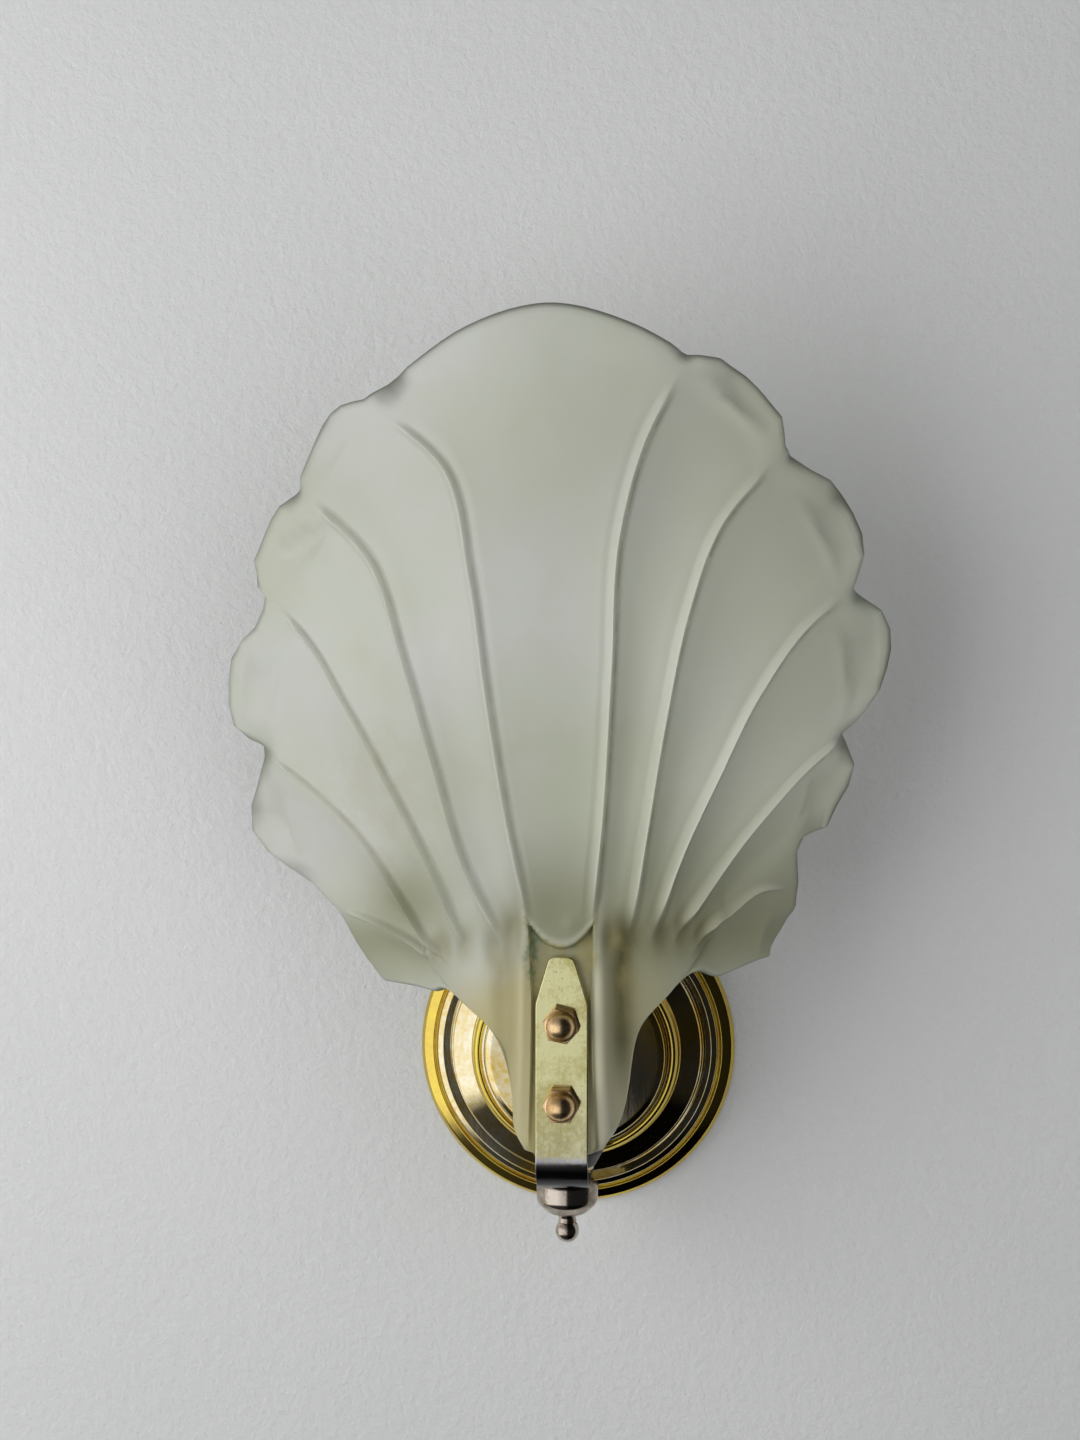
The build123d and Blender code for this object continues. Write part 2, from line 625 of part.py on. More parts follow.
def finial():
    """Turned finial: flattened bead, waist and small ball, with a blind threaded bore."""
    bead_low, bead_mid = -42.7, -36.7
    ball = 3.75
    outline = (
        Line((0, STRIP_BOTTOM), (7.0, STRIP_BOTTOM))
        + ThreePointArc((7.0, STRIP_BOTTOM), (8.9, -32.9), (FINIAL_BEAD, bead_mid))
        + ThreePointArc((FINIAL_BEAD, bead_mid), (7.0, -41.2), (2.9, bead_low))
        + ThreePointArc((2.9, bead_low), (2.3, -44.0), (2.8, -46.0))
        + Line((2.8, -46.0), (0, -46.0))
        + Line((0, -46.0), (0, STRIP_BOTTOM))
    )
    body = revolve(Plane.XZ * make_face(outline), Axis.Z) + Pos(0, 0, FINIAL_BOTTOM + ball) * Sphere(ball)
    body -= Pos(0, 0, STRIP_BOTTOM) * Cylinder(TUBE + FIT, 18)
    return Pos(0, -LAMP_OUT, 0) * body


def holder_tube():
    """Short hollow tube that joins finial, strip and lampholder."""
    below, above = 8, 10
    return upright(STRIP_BOTTOM - below) * washer(TUBE, TUBE_BORE, below + STRIP + above)


def holder_cup():
    """Lower half of the lampholder: a moulded cup screwed on the tube, with a lead way in its floor."""
    outer = HOLDER - 0.6
    inner = HOLDER - 2.2
    cup = turned([
        (TUBE + FIT, CUP_FOOT),
        (9.0, CUP_FOOT),
        (outer, CUP_FOOT + 5),
        (outer, CUP_TOP),
        (inner, CUP_TOP),
        (inner, CUP_FOOT + 6),
        (6.6, CUP_FOOT + 3),
        (6.6, CORE_FOOT),
        (TUBE + FIT, CORE_FOOT),
    ])
    return upright(0) * (cup - Pos(-8.6, 0, CUP_FOOT + 3) * Cylinder(1.3, 14))


def holder_core():
    """Ceramic core: a disc with a raised boss, wells for the two terminals and a slot for the tongue."""
    body = Pos(0, 0, (CORE_FOOT + CORE_DISC) / 2) * Cylinder(9.6, CORE_DISC - CORE_FOOT)
    body += Pos(0, 0, (CORE_DISC + CORE_BOSS) / 2) * Cylinder(6.9, CORE_BOSS - CORE_DISC)
    for side_x in (-1, 1):
        body -= Pos(side_x * CORE_WELL_X, 0, CORE_FOOT) * Cylinder(1.6, 6)
    slot_top = CORE_BOSS + 1
    body -= Pos(0, 0, (TONGUE_FOOT + slot_top) / 2) * Box(4.4, 14, slot_top - TONGUE_FOOT)
    return upright(0) * body


def holder_shell():
    """Upper half of the lampholder: a sleeve with a drawn-in mouth and grip flutes round its skirt."""
    body = turned([
        (9.8, CUP_TOP),
        (HOLDER, CUP_TOP),
        (HOLDER, 6),
        (10.6, 9),
        (10.6, HOLDER_TOP - 1),
        (10.0, HOLDER_TOP),
        (8.4, HOLDER_TOP),
        (8.4, 10),
        (9.8, 7),
    ])
    flutes = 12
    for i in range(flutes):
        body -= Rot(0, 0, 360 / flutes * i) * Pos(HOLDER + 0.5, 0, -1) * Cylinder(1.1, 9)
    return upright(0) * body


def thread_sleeve():
    """Brass sleeve that the lamp screws into, standing on the ceramic disc round its boss."""
    top = HOLDER_TOP - 2.5
    return upright(CORE_DISC) * washer(8.1, 7.3, top - CORE_DISC)


def centre_tongue():
    """Sprung contact tongue: its foot lies in the core's slot and its end presses on the lamp."""
    pressed = CONTACT_FOOT - TONGUE
    under = [(5.4, TONGUE_FOOT), (3.4, TONGUE_FOOT), (1.9, pressed), (-2.2, pressed)]
    over = [(y + 0.2 if 0 < y < 5 else y, z + TONGUE) for y, z in reversed(under)]
    side = Plane.YZ * make_face(Polyline(*under, *over, close=True))
    return upright(0) * extrude(side, 1.6, both=True)


def holder_screws():
    """The holder's two terminal screws, up in the core's wells."""
    length = 2.8
    screw = Cylinder(1.55, length) - Pos(0, 0, -length / 2) * Box(4, 0.5, 1)
    height = CORE_FOOT + 3 - length / 2
    return Compound([upright(height) * Pos(side_x * CORE_WELL_X, 0, 0) * screw for side_x in (-1, 1)])


def lamp_glass():
    """Candle-shaped lamp envelope, thin and hollow, with a flat foot down in the cap."""
    def half(skin):
        """Half section of the envelope, drawn in by the thickness of its skin."""
        neck, foot, tip = LAMP_NECK - skin, LAMP_FOOT + skin, LAMP_TOP - skin
        ball = LAMP_TIP - skin
        ball_at = LAMP_TOP - LAMP_TIP
        half_root_3 = sqrt(3) / 2
        join = (ball * half_root_3, ball_at + ball / 2)
        between = (ball / 2, ball_at + ball * half_root_3)
        widest = (LAMP_BULGE - skin, 47.0)
        side = ThreePointArc((neck, 17.5), (14.6 - skin, 31.2), widest)
        side += ThreePointArc(widest, (13.8 - skin, 71.2), join)
        closing = Line((0, tip), (0, foot)) + Line((0, foot), (neck, foot))
        closing += Line((neck, foot), (neck, 17.5))
        return make_face(side + ThreePointArc(join, between, (0, tip)) + closing)
    return upright(0) * revolve(Plane.XZ * (half(0) - half(LAMP_SKIN)), Axis.Z)


def lamp_cap():
    """Lamp cap: a thin can with a flared collar round the glass."""
    can = [
        (5.0, -3.0),
        (6.6, -2.0),
        (6.9, 0),
        (6.9, 14.5),
        (8.0, 16.5),
        (8.0, 17.2),
        (7.3, 17.2),
        (LAMP_NECK + FIT, 15.0),
        (LAMP_NECK + FIT, 0.4),
        (5.0, -2.4),
    ]
    return upright(0) * turned(can)


def lamp_insulator():
    """Dark glass button in the foot of the cap."""
    return upright(0) * turned([(1.9, -4.2), (3.4, -4.2), (4.95, -2.9), (4.95, -2.0), (1.9, -2.0)])


def lamp_contact():
    """Centre contact of the lamp."""
    profile = [(0, CONTACT_FOOT), (1.3, CONTACT_FOOT), (1.85, -4.3), (1.85, -2.4), (0, -2.4)]
    return upright(0) * turned(profile)


def lamp_mount():
    """Pressed glass foot and its two support wires, standing inside the lamp."""
    foot = LAMP_FOOT + LAMP_SKIN
    body = turned([(0, foot), (4.9, foot), (4.9, foot + 0.9), (2.2, 15.0), (1.7, 30.0), (0, 30.6)])
    for side_x in (-1, 1):
        body += Pos(side_x * 4.6, 0, 37) * Rot(0, side_x * 20, 0) * Cylinder(0.35, 26)
    return upright(0) * body


def lamp_filament(mount):
    """The filament: a shallow arch that ends on the tips of the support wires."""
    arch = Plane.XZ * ThreePointArc((-9.05, 49.3), (0, 53.6), (9.05, 49.3))
    profile = Plane(origin=arch @ 0, z_dir=arch % 0) * Circle(0.4)
    return upright(0) * sweep(profile, arch) - mount


# ---------------------------------------------------------------- write every piece
behind = behind_shade()
mount = lamp_mount()
PIECES = {
    "glass_shade": glass_shade(behind),
    "bracket_strip": bracket_strip(),
    "wall_plate": wall_plate(),
    "mounting_strap": mounting_strap(),
    "plate_tube": plate_tube(),
    "strap_lock_nut": outward(0, REAR_NUT_AT, 0) * hexagon(NUT_FLATS, 3.5, TUBE + FIT),
    "shakeproof_washer": outward(0, STRIP_REAR_FACE, 0) * washer(8.0, TUBE + FIT, WASHER),
    "plate_nut": outward(0, STRIP_REAR_FACE + WASHER, 0) * hexagon(NUT_FLATS, TUBE_NUT, TUBE + FIT, 15),
    "tube_end_bush": end_bush(),
    "terminal_block": terminal_block(),
    "terminal_screws": terminal_screws(),
    "earth_screw": earth_screw(),
    "front_felt": neck_sheet(STRIP_FRONT_OUT - STRIP - FELT, FELT, 14, -14, 27.5, CLAMP_SCREW + 0.6),
    "rear_pad": rear_pad(behind),
    "clamp_plate": neck_sheet(PLATE_BACK, CLAMP_PLATE, 16, PAD_LOW, PAD_HIGH, CLAMP_SCREW + 0.2),
    "clamp_screws": clamp_screws(),
    "hole_bushes": hole_bushes(),
    "cap_nut_upper": cap_nut(CLAMP_HEIGHTS[0], CAP_NUT_TURNS[0]),
    "cap_nut_lower": cap_nut(CLAMP_HEIGHTS[1], CAP_NUT_TURNS[1]),
    "finial": finial(),
    "holder_tube": holder_tube(),
    "holder_washer": upright(LEG_TOP) * washer(8.4, TUBE + FIT, WASHER),
    "holder_cup": holder_cup(),
    "holder_core": holder_core(),
    "holder_shell": holder_shell(),
    "thread_sleeve": thread_sleeve(),
    "centre_tongue": centre_tongue(),
    "holder_screws": holder_screws(),
    "lamp_glass": lamp_glass(),
    "lamp_cap": lamp_cap(),
    "lamp_insulator": lamp_insulator(),
    "lamp_contact": lamp_contact(),
    "lamp_mount": mount,
    "lamp_filament": lamp_filament(mount),
}
for node, shape in PIECES.items():
    save(shape, node)
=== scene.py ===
"""Shell wall sconce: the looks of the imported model.

Metres in the row's own frame: +Z is up, the wall is the plane Y = 0 and the front faces -Y.
Outlines are written in millimetres and scaled by MM where they become meshes.
"""

import logging
import math
from dataclasses import dataclass
from enum import Enum

import bmesh
import bpy
import numpy as np
from mathutils import Matrix, Vector


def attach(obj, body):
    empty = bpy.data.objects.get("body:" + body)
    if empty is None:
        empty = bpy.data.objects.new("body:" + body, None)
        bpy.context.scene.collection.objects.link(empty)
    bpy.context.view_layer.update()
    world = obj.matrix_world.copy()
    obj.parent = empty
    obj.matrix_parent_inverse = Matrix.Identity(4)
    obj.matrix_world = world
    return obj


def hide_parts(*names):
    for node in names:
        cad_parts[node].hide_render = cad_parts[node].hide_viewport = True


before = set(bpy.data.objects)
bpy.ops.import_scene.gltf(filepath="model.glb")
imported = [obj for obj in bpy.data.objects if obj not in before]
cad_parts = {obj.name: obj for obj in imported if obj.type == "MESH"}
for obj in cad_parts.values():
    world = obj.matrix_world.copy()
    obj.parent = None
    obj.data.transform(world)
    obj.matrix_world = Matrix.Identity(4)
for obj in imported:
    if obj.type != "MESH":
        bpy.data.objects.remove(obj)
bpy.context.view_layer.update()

LOG = logging.getLogger("sconce")

MM = 0.001
LAMP_OUT = 60.0  # the lamp's upright axis stands this far out from the wall
STRIP_OUT = 90.0  # the strip's outer face, where it runs up the front of the glass
CREASE = 28.5  # height of the strip's bend towards the room
SIDE_SHARE = 0.49  # the most of a side that the rounding at one end takes
GUARD = 0.12  # a point this far past each rounding keeps the flat beside it flat under smooth shading
FAR = 1e3  # beyond the reach of any relief

Colour = tuple[float, float, float]
Place = tuple[float, float, float]
Span = tuple[float, float]
Points = list[tuple[float, float]]
Corners = list[tuple[float, float, float]]
Line = tuple[tuple[float, float], ...]
Shares = tuple[float, ...]
Socket = bpy.types.NodeSocket
Piece = bpy.types.Object
Mesh = bmesh.types.BMesh
Vert = bmesh.types.BMVert


class Body(Enum):
    """The bodies that pieces ride on."""

    SCONCE = "sconce"
    LAMP = "lamp"


class Axis(Enum):
    """The line a piece is turned about."""

    LAMP = "upright, through the lamp"
    WALL = "level, out of the wall through the plate's centre"

    def matrix(self) -> Matrix:
        """Matrix from a piece's own frame, where it is turned about Z, to its place.

        Returns:
            Metres.
        """
        if self is Axis.LAMP:
            return Matrix.Translation((0, -LAMP_OUT * MM, 0))
        return Matrix.Rotation(math.radians(90), 4, "X")


# ---------------------------------------------------------------- curves
def ramp(value: np.ndarray | float, start: float, end: float) -> np.ndarray:
    """Smooth step from 0 at start to 1 at end."""
    t = np.clip((value - start) / (end - start), 0.0, 1.0)
    return t * t * (3 - 2 * t)


def mound(away: np.ndarray, half: float, power: int = 2) -> np.ndarray:
    """1 where away is 0, fading out past half; a higher power gives a flatter top and a steeper side."""
    return np.exp(-((away / half) ** power))


def reach_of(points: np.ndarray) -> np.ndarray:
    """Distance along a chain of points, from its first point."""
    steps = np.linalg.norm(np.diff(points, axis=0), axis=1)
    return np.concatenate([[0.0], np.cumsum(steps)])


def curve(points: np.ndarray, knots: np.ndarray, places: np.ndarray) -> np.ndarray:
    """Points of a smooth curve that passes each given point at its knot.

    Args:
        points: The points to pass, one row each.
        knots: A rising number for each point.
        places: Where on the knots the curve is wanted.

    Returns:
        One row for each place.
    """
    gap = np.diff(knots)[:, None]
    chord = np.diff(points, axis=0) / gap
    slope = np.concatenate([chord, chord[-1:]])
    slope[1:-1] = (chord[:-1] * gap[1:] + chord[1:] * gap[:-1]) / (gap[1:] + gap[:-1])
    i = np.clip(np.searchsorted(knots, places, side="right") - 1, 0, len(gap) - 1)
    span = gap[i]
    t = ((places - knots[i])[:, None]) / span
    return (
        (2 * t**3 - 3 * t**2 + 1) * points[i]
        + (t**3 - 2 * t**2 + t) * span * slope[i]
        + (3 * t**2 - 2 * t**3) * points[i + 1]
        + (t**3 - t**2) * span * slope[i + 1]
    )


def softened(corners: Corners, steps: int = 6) -> Points:
    """An open outline whose corners are rounded.

    Args:
        corners: Each corner as x, y and the radius of its rounding; 0 keeps it sharp.
        steps: Pieces in each rounding.

    Returns:
        The outline's points in order.
    """
    outline: Points = []
    for i, (x, y, radius) in enumerate(corners):
        if radius <= 0 or i in (0, len(corners) - 1):
            outline.append((x, y))
            continue
        here = Vector((x, y))
        back = Vector(corners[i - 1][:2]) - here
        ahead = Vector(corners[i + 1][:2]) - here
        turn = math.pi - back.angle(ahead)
        if turn < 1e-3:
            outline.append((x, y))
            continue
        most_back, most_ahead = back.length * SIDE_SHARE, ahead.length * SIDE_SHARE
        back.normalize()
        ahead.normalize()
        cut = min(radius * math.tan(turn / 2), most_back, most_ahead)
        start = here + back * cut
        centre = here + (back + ahead).normalized() * cut / math.sin(turn / 2)
        side = 1 if back.x * ahead.y - back.y * ahead.x < 0 else -1
        turns = [Matrix.Rotation(side * turn * k / steps, 2) for k in range(steps + 1)]
        arc = [centre + rotation @ (start - centre) for rotation in turns]
        if most_back > cut + 2 * GUARD:
            arc.insert(0, start + back * GUARD)
        if most_ahead > cut + 2 * GUARD:
            arc.append(arc[-1] + ahead * GUARD)
        outline.extend((point.x, point.y) for point in arc)
    return outline


def arc_through(start: Span, between: Span, end: Span, steps: int = 24) -> Points:
    """Points of a circular arc.

    Args:
        start: Where the arc starts.
        between: A point that it passes.
        end: Where it ends.
        steps: Pieces in the arc.

    Returns:
        The arc's points in order, without the start.
    """
    a, b, c = (complex(*point) for point in (start, between, end))
    w = (c - a) / (b - a)
    centre = a + (b - a) * (w - abs(w) ** 2) / (2j * w.imag)
    ratio = (c - centre) / (a - centre)
    sweep = math.atan2(ratio.imag, ratio.real)
    turns = [sweep * k / steps for k in range(1, steps + 1)]
    made = [centre + (a - centre) * complex(math.cos(turn), math.sin(turn)) for turn in turns]
    return [(point.real, point.imag) for point in made]


# ---------------------------------------------------------------- meshes
def lathe(bm: Mesh, outline: Points, steps: int = 96) -> list[Vert]:
    """Spin an outline of (radius, height) about Z.

    Args:
        bm: The mesh that gets the turned form.
        outline: Radius and height of each point, in millimetres.
        steps: Segments round the turn.

    Returns:
        The new vertices.
    """
    before = set(bm.verts)
    chain = [bm.verts.new((r * MM, 0.0, h * MM)) for r, h in outline]
    edges = [bm.edges.new(pair) for pair in zip(chain, chain[1:])]
    bmesh.ops.spin(bm, geom=chain + edges, cent=(0, 0, 0), axis=(0, 0, 1), angle=2 * math.pi, steps=steps,
                   use_merge=True)
    made = [v for v in bm.verts if v not in before]
    bmesh.ops.remove_doubles(bm, verts=made, dist=1e-6)
    return [v for v in bm.verts if v not in before]


def from_axis(vert: Vert) -> float:
    """A vertex's distance from Z, in millimetres."""
    return math.hypot(vert.co.x, vert.co.y) / MM


def as_object(bm: Mesh, name: str) -> Piece:
    """Turn a bmesh into an object at the origin.

    Args:
        bm: The finished bmesh, which is freed.
        name: The object's name.

    Returns:
        The new object, in the scene.
    """
    mesh = bpy.data.meshes.new(name)
    bm.to_mesh(mesh)
    bm.free()
    piece = bpy.data.objects.new(name, mesh)
    bpy.context.scene.collection.objects.link(piece)
    return piece


def finish_mesh(bm: Mesh, name: str, place: Matrix, smooth_below: float = 35.0) -> Piece:
    """Put a bmesh in its place, with outward faces and smooth shading, and make it an object.

    Args:
        bm: The finished bmesh, which is freed.
        name: The piece's name.
        place: Where the piece goes in the row's frame.
        smooth_below: Edges that turn by less than this many degrees are shaded smooth.

    Returns:
        The new object.
    """
    bmesh.ops.transform(bm, matrix=place, verts=bm.verts)
    bmesh.ops.recalc_face_normals(bm, faces=bm.faces)
    for face in bm.faces:
        face.smooth = True
    limit = math.radians(smooth_below)
    for edge in bm.edges:
        edge.smooth = len(edge.link_faces) == 2 and edge.calc_face_angle(0.0) < limit
    return as_object(bm, name)


def turned(name: str, outline: Points, axis: Axis, smooth_below: float = 35.0) -> Piece:
    """Make a piece that is only turned.

    Args:
        name: The piece's name.
        outline: Radius and height of each point, in millimetres.
        axis: The line that it is turned about.
        smooth_below: Edges that turn by less than this many degrees are shaded smooth.

    Returns:
        The new object.
    """
    bm = bmesh.new()
    lathe(bm, outline)
    return finish_mesh(bm, name, axis.matrix(), smooth_below)


# ---------------------------------------------------------------- finishes
def either(tree: bpy.types.NodeTree, share: Socket, first: Socket, second: Socket) -> Socket:
    """Mix two shaders.

    Args:
        tree: The nodes of a material or world.
        share: 0 for the first shader, 1 for the second.
        first: A shader.
        second: Another shader.

    Returns:
        The mixed shader.
    """
    mix = tree.nodes.new("ShaderNodeMixShader")
    for source, target in zip((share, first, second), mix.inputs):
        tree.links.new(source, target)
    return mix.outputs[0]


class Paint:
    """One material's nodes, with short calls for those used here."""

    def __init__(self, name: str) -> None:
        """Start a material with a single surface shader and Object coordinates.

        Args:
            name: The material's name.
        """
        self.material = bpy.data.materials.new(name)
        self.material.use_nodes = True
        self.tree = self.material.node_tree
        self.shader = self.tree.nodes["Principled BSDF"]
        self.place = self.tree.nodes.new("ShaderNodeTexCoord").outputs["Object"]

    def link(self, source: Socket, target: Socket) -> None:
        """Join two sockets."""
        self.tree.links.new(source, target)

    def noise(self, scale: float, detail: float = 4.0, rough: float = 0.55,
              place: Socket | None = None) -> Socket:
        """Noise over the surface.

        Args:
            scale: Lumps per metre.
            detail: Octaves of finer lumps.
            rough: Strength of the finer lumps.
            place: Coordinates to use in place of the plain Object ones.

        Returns:
            The noise, from about 0 to 1.
        """
        node = self.tree.nodes.new("ShaderNodeTexNoise")
        for key, number in (("Scale", scale), ("Detail", detail), ("Roughness", rough)):
            node.inputs[key].default_value = number
        self.link(place or self.place, node.inputs["Vector"])
        return node.outputs["Fac"]

    def stretched(self, stretch: Place) -> Socket:
        """Object coordinates, stretched along each axis, for brush lines and runs.

        Args:
            stretch: Factors along X, Y and Z.

        Returns:
            The stretched coordinates.
        """
        node = self.tree.nodes.new("ShaderNodeMapping")
        node.inputs["Scale"].default_value = stretch
        self.link(self.place, node.inputs["Vector"])
        return node.outputs["Vector"]

    def across(self) -> Socket:
        """The Object coordinate X, from left to right.

        Returns:
            Metres.
        """
        node = self.tree.nodes.new("ShaderNodeSeparateXYZ")
        self.link(self.place, node.inputs[0])
        return node.outputs["X"]

    def attribute(self, name: str) -> Socket:
        """A number kept on the mesh.

        Args:
            name: The attribute's name.

        Returns:
            The number.
        """
        node = self.tree.nodes.new("ShaderNodeAttribute")
        node.attribute_name = name
        return node.outputs["Fac"]

    def spread(self, value: Socket, span: Span, onto: Span = (0.0, 1.0)) -> Socket:
        """Map a value.

        Args:
            value: The value to map.
            span: Its lowest and highest numbers; it is held there outside.
            onto: What these two become.

        Returns:
            The mapped value.
        """
        node = self.tree.nodes.new("ShaderNodeMapRange")
        for key, number in zip(("From Min", "From Max", "To Min", "To Max"), (*span, *onto)):
            node.inputs[key].default_value = number
        self.link(value, node.inputs["Value"])
        return node.outputs["Result"]

    def blotches(self, scale: float, detail: float, rough: float, span: Span,
                 onto: Span = (0.0, 1.0)) -> Socket:
        """Noise with a clear edge: noise and spread in one."""
        return self.spread(self.noise(scale, detail, rough), span, onto)

    def mark(self, name: str, most: float) -> Socket:
        """A number kept on the mesh, from 0 to most."""
        return self.spread(self.attribute(name), (0.0, 1.0), (0.0, most))

    def combine(self, operation: str, first: Socket, second: Socket) -> Socket:
        """Arithmetic on two values.

        Args:
            operation: The Math node's operation.
            first: A value.
            second: Another value.

        Returns:
            The result.
        """
        node = self.tree.nodes.new("ShaderNodeMath")
        node.operation = operation
        for source, target in zip((first, second), node.inputs):
            self.link(source, target)
        return node.outputs[0]

    def blend(self, share: Socket, first: Colour | Socket, second: Colour | Socket) -> Socket:
        """Mix two colours.

        Args:
            share: 0 for the first colour, 1 for the second.
            first: A colour.
            second: Another colour.

        Returns:
            The mixed colour.
        """
        node = self.tree.nodes.new("ShaderNodeMix")
        node.data_type = "RGBA"
        self.link(share, node.inputs[0])
        for socket, value in zip((node.inputs[6], node.inputs[7]), (first, second)):
            if isinstance(value, tuple):
                socket.default_value = (*value, 1.0)
            else:
                self.link(value, socket)
        return node.outputs[2]

    def cover(self, colour: Socket) -> None:
        """Give the surface its colour."""
        self.link(colour, self.shader.inputs["Base Color"])

    def roughen(self, rough: Socket) -> None:
        """Give the surface its roughness."""
        self.link(rough, self.shader.inputs["Roughness"])

    def bump(self, height: Socket, depth: float, strength: float = 1.0) -> None:
        """Give the surface its fine relief.

        Args:
            height: The relief, from 0 to 1.
            depth: Its depth in metres.
            strength: How strongly it shades.
        """
        node = self.tree.nodes.new("ShaderNodeBump")
        node.inputs["Strength"].default_value = strength
        node.inputs["Distance"].default_value = depth
        self.link(height, node.inputs["Height"])
        self.link(node.outputs["Normal"], self.shader.inputs["Normal"])

    def number(self, **values: float) -> None:
        """Set plain numbers on the shader; underscores stand for spaces."""
        for key, value in values.items():
            self.shader.inputs[key.replace("_", " ")].default_value = value


@dataclass(frozen=True)
class Finish:
    """What a piece is dressed in."""

    name: str

    def make(self) -> bpy.types.Material:
        """Build the finish's material.

        Returns:
            The new material.
        """
        paint = Paint(self.name)
        self.lay(paint)
        return paint.material

    def lay(self, paint: Paint) -> None:
        """Lay the finish's nodes."""
        raise NotImplementedError


@dataclass(frozen=True)
class Plating(Finish):
    """Polished plated metal with tarnish, wipe marks, fine scratches and, where the mesh asks, painted pale
    and dark reflections.
    """

    bright: Colour
    tarnish: Colour
    tarnished: float = 0.35  # share of the surface
    polish: float = 0.12  # roughness where it is bright
    lumps: float = 70.0  # patches per metre
    fineness: float = 14.0  # specks to a patch
    scratch: float = 0.00002
    dull: float = 0.2  # roughness that full tarnish adds
    gilt: Colour | None = None  # richer tint where the mesh's gilt attribute says so
    pale_reflection: Colour | None = None  # painted pale and dark reflections where the mesh's two attributes say so
    pits: float = 0.0  # strength of the dark specks
    pit_colour: Colour = (0.16, 0.14, 0.06)
    # near black: the painted dark reflection
    dark_reflection_colour: Colour = (0.03, 0.03, 0.035)

    def lay(self, paint: Paint) -> None:
        """Lay the plating, its tarnish, its marks and any painted reflections.

        Args:
            paint: The material that gets the nodes.
        """
        patches = paint.noise(self.lumps, 6, 0.62)
        specks = paint.noise(self.lumps * self.fineness, 3, 0.6)
        dulled = paint.combine("MULTIPLY", patches, paint.spread(specks, (0.2, 0.7), (0.8, 1.15)))
        dulled = paint.spread(dulled, (0.62 - self.tarnished * 0.5, 0.75 - self.tarnished * 0.3))
        bright = self.bright
        if self.gilt is not None:
            bright = paint.blend(paint.attribute("gilt"), self.bright, self.gilt)
        colour = paint.blend(dulled, bright, self.tarnish)
        if self.pits:
            groups = paint.blotches(85, 3, 0.55, (0.50, 0.62), (0.0, self.pits))
            pits = paint.combine("MULTIPLY", paint.blotches(900, 5, 0.7, (0.60, 0.68)), groups)
            colour = paint.blend(pits, colour, self.pit_colour)
        if self.pale_reflection is not None:
            # patches that break up the painted pale reflection
            reflection_patches = paint.blotches(700, 5, 0.7, (0.32, 0.48))
            colour = paint.blend(paint.combine("MULTIPLY", paint.attribute("pale_reflection"), reflection_patches), colour, self.pale_reflection)
            colour = paint.blend(paint.attribute("dark_reflection"), colour, self.dark_reflection_colour)
        paint.cover(colour)
        wipes = paint.noise(900, 2, 0.5, paint.stretched((1.0, 1.0, 0.08)))
        rough = paint.combine("ADD", dulled, paint.spread(wipes, (0.3, 0.7), (-0.15, 0.15)))
        paint.roughen(paint.spread(rough, (0.0, 1.0), (self.polish, self.polish + self.dull)))
        paint.bump(paint.combine("ADD", wipes, specks), self.scratch, 0.5)
        paint.number(Metallic=1.0)


@dataclass(frozen=True)
class Moulded(Finish):
    """Plastic, rubber, glazed ceramic or felt: a mottled colour with a fine skin."""

    light: Colour
    dark: Colour
    gloss: float = 0.35  # lowest roughness
    grain: float = 600.0  # grains per metre
    relief: float = 0.00003
    sheen: float = 0.0

    def lay(self, paint: Paint) -> None:
        """Lay the mottled colour and the grain.

        Args:
            paint: The material that gets the nodes.
        """
        grain = paint.noise(self.grain, 3)
        paint.cover(paint.blend(paint.blotches(90, 5, 0.55, (0.35, 0.65)), self.dark, self.light))
        paint.roughen(paint.spread(grain, (0.3, 0.7), (self.gloss, self.gloss + 0.15)))
        paint.bump(grain, self.relief, 0.6)
        paint.number(Sheen_Weight=self.sheen)


@dataclass(frozen=True)
class ClearGlass(Finish):
    """Lamp glass: clear, with faint dust and drawn streaks."""

    tint: Colour
    haze: float = 0.06  # lowest roughness
    dust: Colour = (0.8, 0.79, 0.75)

    def lay(self, paint: Paint) -> None:
        """Lay the clear glass, its dust and its streaks.

        Args:
            paint: The material that gets the nodes.
        """
        dust = paint.noise(260, 5, 0.6)
        paint.cover(paint.blend(paint.spread(dust, (0.55, 0.8)), self.tint, self.dust))
        paint.roughen(paint.spread(dust, (0.4, 0.8), (self.haze, self.haze + 0.2)))
        paint.bump(paint.noise(60, 2, 0.5, paint.stretched((1.0, 1.0, 0.2))), 0.00005, 0.4)
        paint.number(Transmission_Weight=0.92, IOR=1.45)


